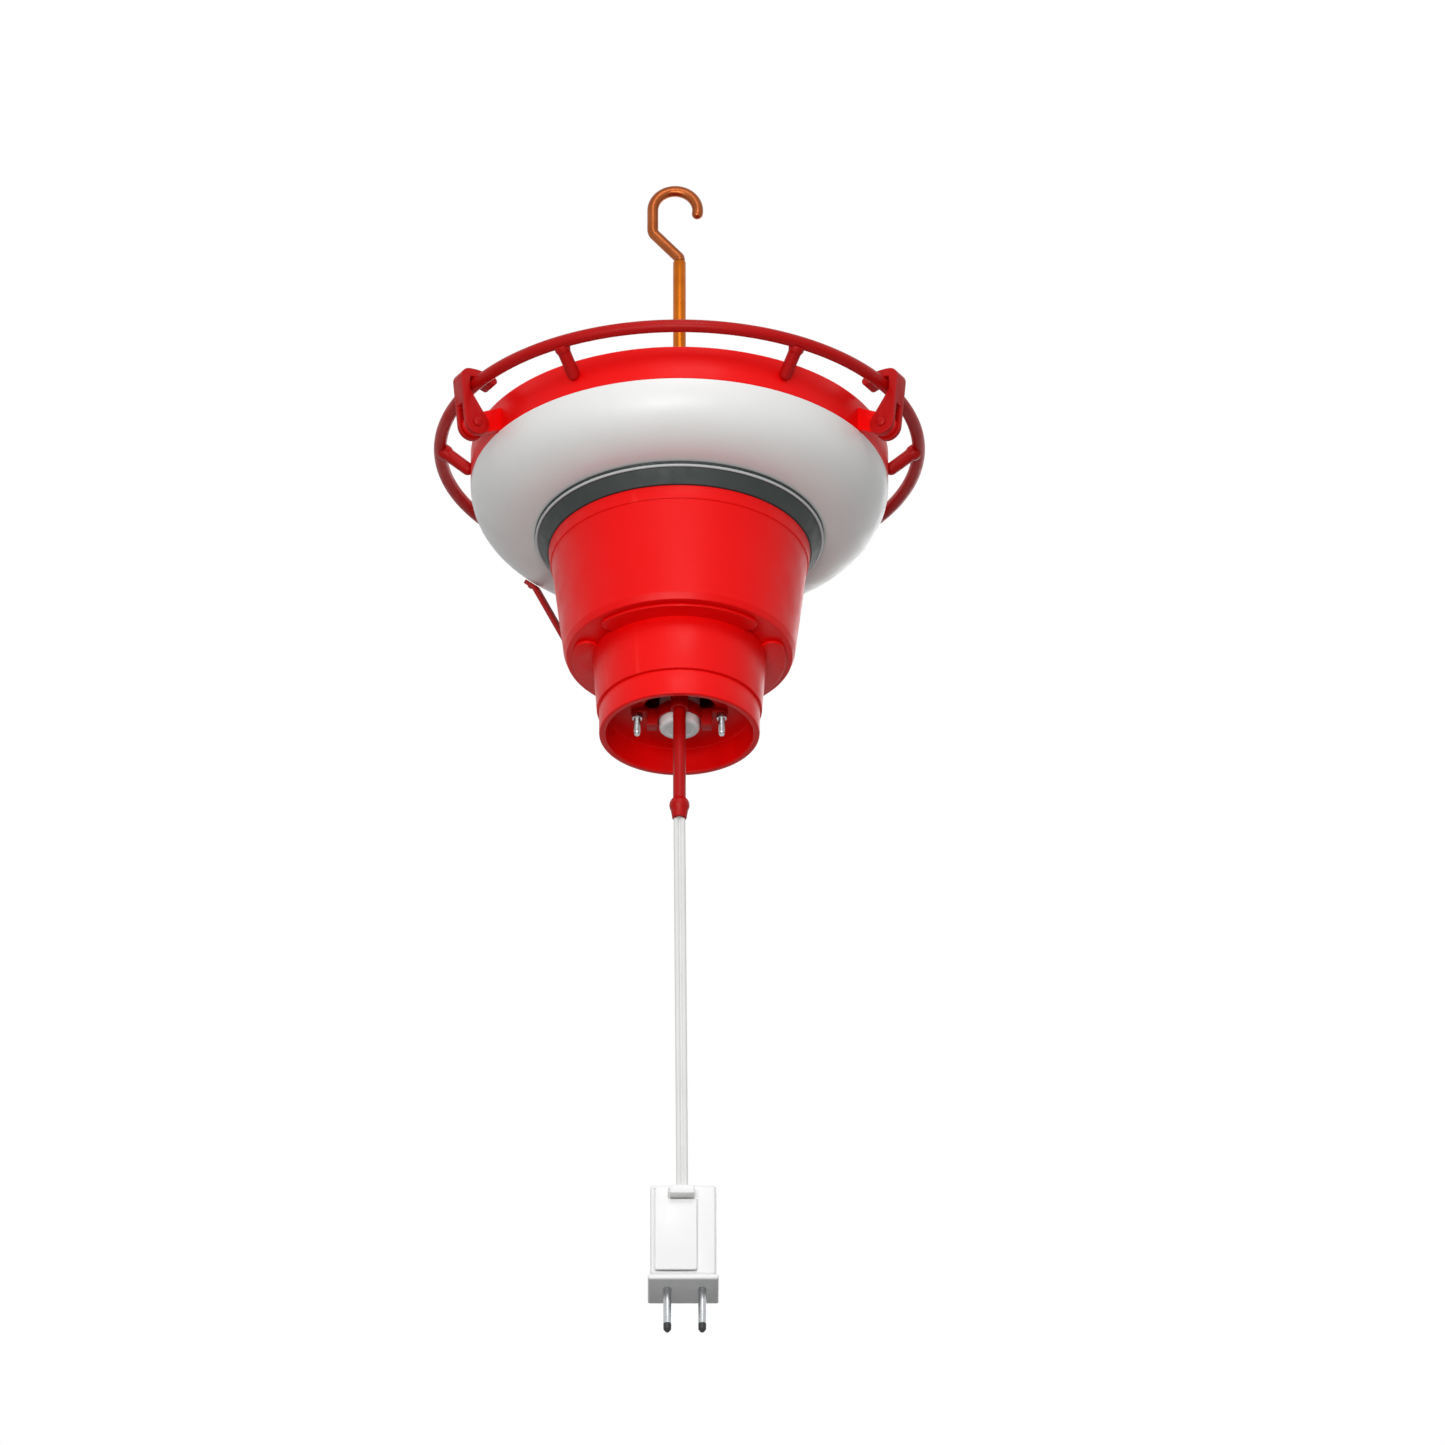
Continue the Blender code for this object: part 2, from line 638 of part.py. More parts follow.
def make_spider(parent, screw_holes):
    bush_radius = ROD_RADIUS + FIT_GAP + BUSH_WALL
    hub_bore = bush_radius + FIT_GAP
    hub_radius = hub_bore + SPIDER_HUB_WALL
    hub_top = SPIDER_TOP_Z + HUB_PROUD
    hub = turned("hanger_spider", ring_profile(hub_bore, hub_radius, hub_top, HUB_BOTTOM_Z), LARGE_STEPS)
    spider = part("hanger_spider", hub, "nylon", parent=parent)
    root = hub_bore + SPIDER_HUB_WALL / 2
    half = SPIDER_ARM_WIDTH / 2
    reach = math.sqrt((SEAT_RADIUS - 2 * FIT_GAP) ** 2 - half**2)
    arm = box("arm", (root, -half, SPIDER_Z), (reach, half, SPIDER_TOP_Z))
    rib_low = (root, -SPIDER_RIB / 2, SPIDER_Z - SPIDER_RIB_HEIGHT)
    rib = box("rib", rib_low, (LEDGE_RADIUS - SPIDER_RIB_GAP, SPIDER_RIB / 2, SPIDER_Z + SPIDER_PLATE / 2))
    for name, shape in (("spider_arms", arm), ("spider_ribs", rib)):
        copies = ring_of(name, shape, (0, 0, 0), SPIDER_ARM_COUNT, SPIDER_FIRST_ANGLE)
        combine(spider, cutter(name, copies), "UNION")
    combine(spider, screw_holes, "DIFFERENCE")
    flange_top = HUB_BOTTOM_Z - FIT_GAP
    bush = [
        (ROD_RADIUS + FIT_GAP, hub_top),
        (bush_radius, hub_top),
        (bush_radius, flange_top),
        (BUSH_FLANGE_RADIUS, flange_top),
        (BUSH_FLANGE_RADIUS, flange_top - BUSH_FLANGE),
        (ROD_RADIUS + FIT_GAP, flange_top - BUSH_FLANGE),
    ]
    part("swivel_bush", turned("swivel_bush", bush, SMALL_STEPS), "nylon", parent=parent)
    head_bottom = SPIDER_TOP_Z + FIT_GAP
    end = BOWL_FLANGE_Z - BOWL_WALL - SCREW_BITE
    screw = turned(
        "spider_screw",
        [
            (0, head_bottom + SCREW_HEAD),
            (SCREW_HEAD_DIAMETER / 2, head_bottom + SCREW_HEAD),
            (SCREW_HEAD_DIAMETER / 2, head_bottom),
            (SCREW_DIAMETER / 2, head_bottom),
            (SCREW_DIAMETER / 2, end),
            (0, end),
        ],
        SMALL_SIDES,
    )
    for index in range(SPIDER_ARM_COUNT):
        angle = SPIDER_FIRST_ANGLE + math.tau * index / SPIDER_ARM_COUNT
        part(f"spider_screw_{index + 1}", screw, "steel", polar(RIM_SCREW_RADIUS, angle, 0), parent=parent)


def make_ring(parent):
    centre = (RING_RADIUS, RING_Z)
    tube_round = arc(centre, RING_TUBE / 2, math.pi, -math.pi, RING_SIDES)[:-1]
    part("guard_ring", turned("guard_ring", tube_round, RING_STEPS), "red_plastic", parent=parent)
    ring_room = arc(centre, RING_TUBE / 2 + FIT_GAP, math.pi, -math.pi, RING_SIDES)[:-1]
    room = cutter("ring_room", turned("ring_room", ring_room, RING_STEPS))
    band_room = cylinder("band_room", BAND_RADIUS + FIT_GAP, RING_Z, BAND_BOTTOM_Z, LARGE_STEPS)
    band = cutter("band_room", band_room)
    foot_x = BAND_RADIUS + POST_FOOT_OUT
    foot_z = BAND_TOP_Z - POST_FOOT_DROP
    length = math.hypot(RING_RADIUS - foot_x, RING_Z - foot_z)
    foot = POST_FOOT_DIAMETER / 2
    end = arc((0, -length), foot, 0, -math.pi / 2, 4)[:-1]
    peg = [(0, -POST_SADDLE), (POST_HEAD_DIAMETER / 2, -POST_SADDLE), *end, (0, -length - foot)]
    lean = math.atan2(RING_RADIUS - foot_x, RING_Z - foot_z)
    shape = turned("guard_post", peg, SMALL_SIDES)
    shape.transform(Matrix.Translation((RING_RADIUS, 0, RING_Z)) @ Matrix.Rotation(lean, 4, "Y"))
    blank = loose("guard_post", shape)
    combine(blank, room, "DIFFERENCE")
    combine(blank, band, "DIFFERENCE")
    shape = frozen(blank)
    for index in range(POST_COUNT):
        turn = (0, 0, math.tau * index / POST_COUNT)
        part(f"guard_post_{index + 1}", shape, "red_plastic", turn=turn, parent=parent)


def make_band(parent, screw_holes):
    band = turned(
        "rim_band",
        [
            (BAND_BORE, BAND_TOP_Z),
            (BAND_RADIUS, BAND_TOP_Z),
            (BAND_RADIUS, BAND_BOTTOM_Z),
            (BAND_BORE, BAND_BOTTOM_Z),
            (BAND_BORE, LEDGE_BOTTOM_Z),
            (LEDGE_RADIUS, LEDGE_BOTTOM_Z),
            (LEDGE_RADIUS, LEDGE_TOP_Z),
            (SEAT_RADIUS, LEDGE_TOP_Z),
            (SEAT_RADIUS, SEAT_Z),
            (BAND_BORE, SEAT_Z),
        ],
    )
    band = part("rim_band", band, "red_plastic", parent=parent)
    root = BAND_RADIUS - BAND_WALL / 2 - PIVOT_RADIUS
    high = (root, BAND_TOP_Z - LUG_ROOT_DROP - PIVOT_Z)
    low = (root, BAND_BOTTOM_Z + LUG_ROOT_RISE - PIVOT_Z)
    start = tangent_angle(high, LUG_RADIUS, -1)
    end = tangent_angle(low, LUG_RADIUS, 1) - math.tau
    lug = upright(extruded("lug", [high, *arc((0, 0), LUG_RADIUS, start, end, 8), low], LUG_THICKNESS))
    place = (PIVOT_RADIUS, 0, PIVOT_Z)
    lugs = ring_of("lugs", lug, place, LATCH_COUNT, LATCH_FIRST_ANGLE)
    combine(band, cutter("lugs", lugs), "UNION")
    drill = cylinder("drill", PIN_DIAMETER / 2 + FIT_GAP, LUG_THICKNESS, -LUG_THICKNESS, SMALL_SIDES)
    holes = ring_of("pin_holes", upright(drill), place, LATCH_COUNT, LATCH_FIRST_ANGLE)
    combine(band, cutter("pin_holes", holes), "DIFFERENCE")
    combine(band, screw_holes, "DIFFERENCE")


def latch_outline():
    """The latch about its pivot: round eye, arm outside the ring, and a hook struck from the pivot."""
    eye = LATCH_BOSS_DIAMETER / 2
    ring_away = math.hypot(LATCH_PIVOT_OUT, LATCH_PIVOT_DROP)
    inner = ring_away + RING_TUBE / 2 + LATCH_GAP
    outer = inner + LATCH_HOOK
    arm_in = RING_TUBE / 2 + LATCH_GAP - LATCH_PIVOT_OUT
    arm_out = arm_in + LATCH_ARM
    tip = math.acos(-LATCH_TIP_REACH / inner)
    middle = (inner + outer) / 2
    tip_centre = (middle * math.cos(tip), middle * math.sin(tip))
    # The crown's corner is rounded between the hook's outside and the arm's.
    corner_x = arm_out - LATCH_ROUND
    corner = (corner_x, math.sqrt((outer - LATCH_ROUND) ** 2 - corner_x**2))
    crown = math.atan2(corner[1], corner[0])
    shoulder = (arm_out, corner[1])
    # Under the ring the arm widens inwards, only where it passes below the ring as it swings.
    clear = ring_away - RING_TUBE / 2 - LATCH_GAP
    waist = (arm_in, math.sqrt(clear**2 - arm_in**2))
    return [
        *arc((0, 0), inner, math.acos(arm_in / inner), tip, 5),
        *arc(tip_centre, LATCH_HOOK / 2, tip + math.pi, tip, 6)[1:-1],
        *arc((0, 0), outer, tip, crown, 5),
        *arc(corner, LATCH_ROUND, crown, 0, 4)[1:],
        *arc((0, 0), eye, tangent_angle(shoulder, eye, -1), tangent_angle(waist, eye, 1) - math.tau, 10),
        waist,
    ]


def make_latches(parent):
    eye = LATCH_BOSS_DIAMETER / 2
    blank = loose("latch", extruded("latch", latch_outline(), LATCH_WIDTH))
    slot = LUG_THICKNESS / 2 + FIT_GAP
    low = (-LATCH_BOSS_DIAMETER, -LATCH_BOSS_DIAMETER, -slot)
    fork = box("latch_fork", low, (LATCH_BOSS_DIAMETER, eye + LATCH_FORK, slot))
    combine(blank, cutter("latch_fork", fork), "DIFFERENCE")
    drill = cylinder("latch_bore", PIN_DIAMETER / 2 + FIT_GAP, LATCH_WIDTH, -LATCH_WIDTH, SMALL_SIDES)
    combine(blank, cutter("latch_bore", drill), "DIFFERENCE")
    latch = upright(frozen(blank))
    half = LATCH_WIDTH / 2 + FIT_GAP
    head = half + PIN_HEAD
    pin = [
        (0, head),
        (PIN_HEAD_DIAMETER / 2, head),
        (PIN_HEAD_DIAMETER / 2, half),
        (PIN_DIAMETER / 2, half),
        (PIN_DIAMETER / 2, -half),
        (PIN_HEAD_DIAMETER / 2, -half),
        (PIN_HEAD_DIAMETER / 2, -head),
        (0, -head),
    ]
    pin = upright(turned("latch_pin", pin, SMALL_SIDES))
    for index in range(LATCH_COUNT):
        angle = LATCH_FIRST_ANGLE + math.tau * index / LATCH_COUNT
        place = polar(PIVOT_RADIUS, angle, PIVOT_Z)
        part(f"latch_{index + 1}", latch, "red_plastic", place, (0, 0, angle), parent)
        part(f"latch_pin_{index + 1}", pin, "red_plastic", place, (0, 0, angle), parent)


def make_lid(parent):
    radius = BAND_BORE - FIT_GAP
    foot = SEAT_Z + FIT_GAP
    shoulder = foot + LID_STEP
    crown = shoulder + LID_RISE
    grommet_radius = ROD_RADIUS + GROMMET_GAP + GROMMET_WALL
    hole = grommet_radius + FIT_GAP
    lid = [
        (hole, crown),
        (LID_CROWN_RADIUS, crown),
        (radius, shoulder),
        (radius, foot),
        (radius - LID_SHEET, foot),
        (radius - LID_SHEET, shoulder - LID_SHEET),
        (LID_CROWN_RADIUS, crown - LID_SHEET),
        (hole, crown - LID_SHEET),
    ]
    lift = empty("lid_frame", (0, 0, SEAT_Z), parent=parent)
    down = (0, 0, -SEAT_Z)
    part("lid", turned("lid", lid), "red_plastic", down, parent=lift)
    bore = ROD_RADIUS + GROMMET_GAP
    flange = grommet_radius + GROMMET_FLANGE
    over = crown + FIT_GAP
    under = crown - LID_SHEET - FIT_GAP
    grommet = [
        (bore, over + GROMMET_FLANGE_THICKNESS),
        (flange, over + GROMMET_FLANGE_THICKNESS),
        (flange, over),
        (grommet_radius, over),
        (grommet_radius, under),
        (flange, under),
        (flange, under - GROMMET_FLANGE_THICKNESS),
        (bore, under - GROMMET_FLANGE_THICKNESS),
    ]
    part("lid_grommet", turned("lid_grommet", grommet, SMALL_STEPS), "black_rubber", down, parent=lift)


def make_bowl(parent, screw_holes):
    spigot = BAND_BORE - FIT_GAP
    bore = spigot - BOWL_WALL
    hole = body_radius(BOWL_FLOOR_Z + BOWL_WALL) + FIT_GAP
    inner_flare = BOWL_FLARE - BOWL_WALL
    inner_depth = BOWL_DEPTH - BOWL_WALL
    outside = []
    inside = []
    last = math.asin((bore - BOWL_FLOOR_RADIUS) / inner_flare)
    for step in range(BOWL_ARC_STEPS + 1):
        angle = math.pi / 2 * (1 - step / BOWL_ARC_STEPS)
        across = BOWL_FLOOR_RADIUS + BOWL_FLARE * math.sin(angle)
        outside.append((across, BOWL_TOP_Z - BOWL_DEPTH * math.cos(angle)))
        angle = last * step / BOWL_ARC_STEPS
        across = BOWL_FLOOR_RADIUS + inner_flare * math.sin(angle)
        inside.append((across, BOWL_TOP_Z - inner_depth * math.cos(angle)))
    profile = [
        (LEDGE_RADIUS, BOWL_FLANGE_Z),
        (spigot, BOWL_FLANGE_Z),
        (spigot, BOWL_TOP_Z),
        *outside,
        (hole, BOWL_FLOOR_Z),
        (hole, BOWL_FLOOR_Z + BOWL_WALL),
        *inside,
        (bore, BOWL_FLANGE_Z - BOWL_WALL),
        (LEDGE_RADIUS, BOWL_FLANGE_Z - BOWL_WALL),
    ]
    bowl = part("bowl", turned("bowl", profile), "white_plastic", parent=parent)
    combine(bowl, screw_holes, "DIFFERENCE")


def make_gasket(parent):
    top = BOWL_FLOOR_RADIUS
    bottom = body_radius(GASKET_BOTTOM_Z) + GASKET_FOOT
    edge = Vector((bottom - top, GASKET_BOTTOM_Z - GASKET_TOP_Z))
    wire = GASKET_RING_WIRE / 2
    centre = Vector((top, GASKET_TOP_Z)) + edge * GASKET_RING_PLACE
    along = edge.normalized() * (wire + FIT_GAP)
    depth = Vector((along.y, -along.x))
    groove = [centre - along, centre - along + depth, centre + along + depth, centre + along]
    gasket = [
        (body_radius(GASKET_TOP_Z) + FIT_GAP, GASKET_TOP_Z),
        (top, GASKET_TOP_Z),
        *groove,
        (bottom, GASKET_BOTTOM_Z),
        (body_radius(GASKET_BOTTOM_Z) + FIT_GAP, GASKET_BOTTOM_Z),
    ]
    part("gasket", turned("gasket", gasket), "black_rubber", parent=parent)
    loop = arc(centre, wire, math.pi, -math.pi, WIRE_SIDES)[:-1]
    part("gasket_ring", turned("gasket_ring", loop), "pale_ring", parent=parent)


def make_body(parent):
    def inside(height):
        return body_radius(height) - BODY_WALL

    lip_top = body_radius(LIP_TOP_Z)
    lip_bottom = body_radius(LIP_BOTTOM_Z)
    hole = NECK_SPIGOT_RADIUS + FIT_GAP
    flange = BOWL_FLOOR_RADIUS - FIT_GAP
    body = [
        (inside(BODY_TOP_Z), BODY_TOP_Z),
        (flange, BODY_TOP_Z),
        (flange, BODY_FLANGE_Z),
        (body_radius(BODY_FLANGE_Z), BODY_FLANGE_Z),
        (lip_top, LIP_TOP_Z),
        (lip_top + BODY_LIP_PROUD, LIP_TOP_Z),
        (lip_bottom + BODY_LIP_PROUD, LIP_BOTTOM_Z),
        (lip_bottom, LIP_BOTTOM_Z),
        (BODY_EDGE_RADIUS, BODY_EDGE_Z),
        (BODY_FOOT_RADIUS, BODY_BOTTOM_Z),
        (hole, BODY_BOTTOM_Z),
        (hole, STEP_FLOOR_Z),
        (inside(STEP_FLOOR_Z), STEP_FLOOR_Z),
    ]
    part("hopper_body", turned("hopper_body", body), "red_plastic", parent=parent)


def make_stay(parent):
    swing = math.asin(STAY_TOP_REACH / BOWL_FLARE)
    touch = Vector((BOWL_FLOOR_RADIUS + STAY_TOP_REACH, BOWL_TOP_Z - BOWL_DEPTH * math.cos(swing)))
    out = Vector((STAY_TOP_REACH / BOWL_FLARE**2, -math.cos(swing) / BOWL_DEPTH)).normalized()
    along = Vector((out.y, -out.x))
    away = STAY_THICKNESS / 2 + FIT_GAP
    pad = touch + out * away
    foot_z = BODY_EDGE_Z + FIT_GAP
    corners = [
        pad - along * (STAY_PAD / 2),
        pad + along * (STAY_PAD / 2),
        Vector((body_radius(foot_z + STAY_PAD) + away, foot_z + STAY_PAD)),
        Vector((body_radius(foot_z) + away, foot_z)),
    ]
    path = rounded_path(corners, STAY_BEND_RADIUS, 3)
    shape = upright(extruded("side_stay", strip(path, STAY_THICKNESS), STAY_WIDTH))
    part("side_stay", shape, "red_plastic", turn=(0, 0, STAY_ANGLE), parent=parent)


def pad_outline():
    """A strip with round ends, bent round the axis."""
    outer = NECK_TOP_RADIUS + NECK_PAD_REACH
    inner = NECK_TOP_RADIUS - NECK_WALL / 2
    half = (outer - inner) / 2
    middle = (outer + inner) / 2
    turn = NECK_PAD_SWEEP / 2
    left = (middle * math.cos(turn), middle * math.sin(turn))
    right = (middle * math.cos(turn), -middle * math.sin(turn))
    return [
        *arc((0, 0), outer, -turn, turn, 10),
        *arc(left, half, turn, turn + math.pi, 6)[1:-1],
        *arc((0, 0), inner, turn, -turn, 10),
        *arc(right, half, math.pi - turn, math.tau - turn, 6)[1:-1],
    ]


def make_neck(parent):
    neck = [
        (NECK_BORE, SPIGOT_TOP_Z),
        (NECK_SPIGOT_RADIUS, SPIGOT_TOP_Z),
        (NECK_SPIGOT_RADIUS, NECK_TOP_Z),
        (NECK_TOP_RADIUS, NECK_TOP_Z),
        (NECK_RADIUS, NECK_BOTTOM_Z),
        (NECK_BORE, NECK_BOTTOM_Z),
    ]
    neck = part("neck", turned("neck", neck), "red_plastic", parent=parent)
    pad = extruded("neck_pad", pad_outline(), NECK_PAD)
    place = (0, 0, NECK_TOP_Z - PAD_RELIEF - NECK_PAD / 2)
    pads = ring_of("neck_pads", pad, place, NECK_PAD_COUNT, NECK_PAD_FIRST_ANGLE)
    combine(neck, cutter("neck_pads", pads), "UNION")
    bore = NECK_SPIGOT_RADIUS + FIT_GAP
    ring = ring_profile(bore, bore + LOCK_RING_WIDTH, LOCK_RING_Z + LOCK_RING_HEIGHT, LOCK_RING_Z)
    part("neck_lock_ring", turned("neck_lock_ring", ring), "red_plastic", parent=parent)
    rim = NECK_BORE - FIT_GAP
    foot = PLATE_TOP_Z + FIT_GAP
    top = foot + FUNNEL_HEIGHT
    collar = OUTLET_RADIUS + FUNNEL_WALL
    funnel = [
        (rim - FUNNEL_WALL, top),
        (rim, top),
        (rim, top - FUNNEL_RIM),
        (collar, foot + FUNNEL_COLLAR),
        (collar, foot),
        (OUTLET_RADIUS, foot),
        (OUTLET_RADIUS, foot + FUNNEL_COLLAR + FUNNEL_WALL),
    ]
    part("feed_funnel", turned("feed_funnel", funnel), "red_plastic", parent=parent)


def make_cap(parent):
    spigot = NECK_BORE - FIT_GAP
    spigot_top = CAP_Z + CAP_SPIGOT_HEIGHT
    cap = [
        (spigot - CAP_SPIGOT_WALL, spigot_top),
        (spigot, spigot_top),
        (spigot, CAP_Z),
        (SKIRT_RADIUS, CAP_Z),
        (SKIRT_RADIUS, SKIRT_BOTTOM_Z),
        (SKIRT_RADIUS - SKIRT_WALL, SKIRT_BOTTOM_Z),
        (SKIRT_RADIUS - SKIRT_WALL, CAP_Z),
        (OUTLET_RADIUS, CAP_Z),
        (OUTLET_RADIUS, PLATE_TOP_Z),
        (spigot - CAP_SPIGOT_WALL, PLATE_TOP_Z),
    ]
    cap = part("outlet_cap", turned("outlet_cap", cap), "red_plastic", parent=parent)
    stud_x = OUTLET_RADIUS + STUD_INSET
    drill = cylinder("drill", STUD_SHANK / 2 + FIT_GAP, PLATE_TOP_Z + CAP_PLATE, SKIRT_BOTTOM_Z, SMALL_SIDES)
    drills = cutter("stud_holes", ring_of("stud_holes", drill, (stud_x, 0, 0), 2, 0))
    combine(cap, drills, "DIFFERENCE")
    return stud_x, drills


def make_bracket(parent, stud_x, drills, port):
    """Collar round the pod with an arm and a tab on each side, and the gland for the conduit at its front."""
    bore = POD_RADIUS + FIT_GAP
    top = BRACKET_TOP_Z
    collar = cylinder("pod_bracket", bore + BRACKET_COLLAR, top, COLLAR_BOTTOM_Z)
    bracket = part("pod_bracket", collar, "red_plastic", parent=parent)
    bridge = bore + BRACKET_COLLAR / 2
    arm_end = bore + BRACKET_ARM_REACH
    half = BRACKET_WIDTH / 2
    arm_low = (bridge, -half, POD_BOTTOM_Z + POD_EDGE)
    arm = box("arm", arm_low, (arm_end, half, top - WALL_RELIEF))
    tab_half = half - WALL_RELIEF
    tab_top = top - 2 * WALL_RELIEF
    tab_low = (arm_end - BRACKET_TAB, -tab_half, tab_top - BRACKET_TAB)
    tab = box("tab", tab_low, (stud_x + BRACKET_TAB_END, tab_half, tab_top))
    for name, shape in (("bracket_arms", arm), ("bracket_tabs", tab)):
        combine(bracket, cutter(name, ring_of(name, shape, (0, 0, 0), 2, 0)), "UNION")
    front = (0, -CONDUIT_OUT, 0)
    socket = CONDUIT_SPIGOT / 2 + FIT_GAP
    gland = cylinder("gland", socket + GLAND_WALL, top - WALL_RELIEF, GLAND_BOTTOM_Z)
    combine(bracket, cutter("gland", gland, front), "UNION")
    socket_top = LEAD_PORT_Z + CONDUIT_BORE / 2
    room = cylinder("gland_socket", socket, socket_top, GLAND_BOTTOM_Z - BRACKET_TAB)
    combine(bracket, cutter("gland_socket", room, front), "DIFFERENCE")
    pod_room = cylinder("pod_room", bore, PLATE_TOP_Z, SKIRT_BOTTOM_Z)
    combine(bracket, cutter("pod_room", pod_room), "DIFFERENCE")
    combine(bracket, drills, "DIFFERENCE")
    combine(bracket, port, "DIFFERENCE")
    shoulder = tab_low[2] - FIT_GAP
    end = SKIRT_BOTTOM_Z - STUD_PROUD
    stud = [
        (0, PLATE_TOP_Z),
        (STUD_SHANK / 2, PLATE_TOP_Z),
        (STUD_SHANK / 2, shoulder),
        (STUD_DIAMETER / 2, shoulder),
        (STUD_DIAMETER / 2, end + STUD_EDGE),
        (STUD_DIAMETER / 2 - STUD_EDGE, end),
        (0, end),
    ]
    stud = turned("bracket_screw", stud, SMALL_SIDES)
    for index, side in enumerate((-1, 1)):
        part(f"bracket_screw_{index + 1}", stud, "steel", (side * stud_x, 0, 0), parent=parent)


def make_pod(parent, port):
    inside = POD_RADIUS - POD_WALL
    shaft = SHAFT_DIAMETER / 2
    floor = POD_BOTTOM_Z + POD_FLOOR
    housing = [
        (0, floor),
        (inside, floor),
        (inside, POD_TOP_Z),
        (POD_RADIUS, POD_TOP_Z),
        (POD_RADIUS, POD_BOTTOM_Z + POD_EDGE),
        (POD_RADIUS - POD_EDGE, POD_BOTTOM_Z),
        (0, POD_BOTTOM_Z),
    ]
    pod = part("pod_housing", turned("pod_housing", housing, SMALL_STEPS), "white_plastic", parent=parent)
    combine(pod, port, "DIFFERENCE")
    seat = MOTOR_TOP_Z - SHAFT_SEAT
    motor = [
        (0, seat),
        (shaft + FIT_GAP, seat),
        (shaft + FIT_GAP, MOTOR_TOP_Z),
        (inside - FIT_GAP, MOTOR_TOP_Z),
        (inside - FIT_GAP, MOTOR_BOTTOM_Z),
        (0, MOTOR_BOTTOM_Z),
    ]
    part("gear_motor", turned("gear_motor", motor, SMALL_STEPS), "motor_steel", parent=parent)
    cover = [
        (shaft + FIT_GAP, COVER_TOP_Z),
        (POD_RADIUS, COVER_TOP_Z),
        (POD_RADIUS, COVER_Z),
        (inside - FIT_GAP, COVER_Z),
        (inside - FIT_GAP, COVER_Z - COVER_SPIGOT),
        (shaft + FIT_GAP, COVER_Z - COVER_SPIGOT),
    ]
    part("pod_cover", turned("pod_cover", cover, SMALL_STEPS), "white_plastic", parent=parent)
    bottom = COVER_TOP_Z + FIT_GAP
    seal = ring_profile(shaft + FIT_GAP, shaft + FIT_GAP + SEAL_WALL, bottom + SEAL_HEIGHT, bottom)
    part("shaft_seal", turned("shaft_seal", seal, SMALL_STEPS), "black_rubber", parent=parent)


def make_agitator(parent):
    shaft = SHAFT_DIAMETER / 2
    level = SPIGOT_TOP_Z + AGITATOR_GAP + AGITATOR_ROD / 2
    hub_top = level + HUB_HEIGHT / 2
    turns = empty("agitator_frame", (0, 0, level), parent=parent)
    down = (0, 0, -level)
    rod = cylinder("agitator_shaft", shaft, hub_top + SHAFT_PROUD, MOTOR_TOP_Z - SHAFT_SEAT + FIT_GAP)
    part("agitator_shaft", rod, "steel", down, parent=turns)
    bore = shaft + FIT_GAP
    hub = turned("agitator", ring_profile(bore, HUB_RADIUS, hub_top, hub_top - HUB_HEIGHT), SMALL_STEPS)
    agitator = part("agitator", hub, "nylon", down, parent=turns)
    lock_edge = NECK_SPIGOT_RADIUS + FIT_GAP + LOCK_RING_WIDTH
    wall_edge = body_radius(STEP_FLOOR_Z) - BODY_WALL
    finger = (lock_edge + wall_edge) / 2
    corners = [
        Vector(((bore + HUB_RADIUS) / 2, level)),
        Vector((finger, level)),
        Vector((finger, STEP_FLOOR_Z + AGITATOR_GAP)),
    ]
    path = in_plane(rounded_path(corners, AGITATOR_BEND_RADIUS, 4))
    arm = frozen(loose("agitator_arm", tube("agitator_arm", path, AGITATOR_ROD)))
    arms = ring_of("agitator_arms", arm, (0, 0, 0), AGITATOR_ARM_COUNT, 0)
    combine(agitator, cutter("agitator_arms", arms), "UNION")


def make_conduit(parent):
    radius = CONDUIT_DIAMETER / 2
    bore = CONDUIT_BORE / 2
    front = (0, -CONDUIT_OUT, 0)
    shoulder = GLAND_BOTTOM_Z - FIT_GAP
    top = LEAD_PORT_Z - bore - FIT_GAP
    socket = BALL_Z - RELIEF_SOCKET / 2
    conduit = [
        (bore, top),
        (CONDUIT_SPIGOT / 2, top),
        (CONDUIT_SPIGOT / 2, shoulder),
        (radius, shoulder),
        (radius, socket + FIT_GAP),
        (bore, socket + FIT_GAP),
    ]
    part("conduit_tube", turned("conduit_tube", conduit, SMALL_STEPS), "red_plastic", front, parent=parent)
    ball = RELIEF_BALL / 2
    collar = radius + FIT_GAP
    tip = RELIEF_TIP_DIAMETER / 2
    first = math.acos(collar / ball)
    last = -math.acos((tip + RELIEF_TAPER) / ball)
    relief = [
        (bore, socket),
        (collar, socket),
        *arc((0, BALL_Z), ball, first, last, 5),
        (tip, TIP_Z),
        (bore, TIP_Z),
    ]
    part("strain_relief", turned("strain_relief", relief, SMALL_STEPS), "red_plastic", front, parent=parent)
    motor_side = POD_RADIUS - POD_WALL - FIT_GAP
    corners = [
        Vector((-motor_side - FIT_GAP, LEAD_PORT_Z)),
        Vector((-CONDUIT_OUT, LEAD_PORT_Z)),
        Vector((-CONDUIT_OUT, TIP_Z)),
    ]
    path = [(0, point.x, point.y) for point in rounded_path(corners, LEAD_BEND_RADIUS, 4)]
    part("inner_lead", tube("inner_lead", path, CONDUIT_BORE - 2 * FIT_GAP, 2), "white_flex", parent=parent)


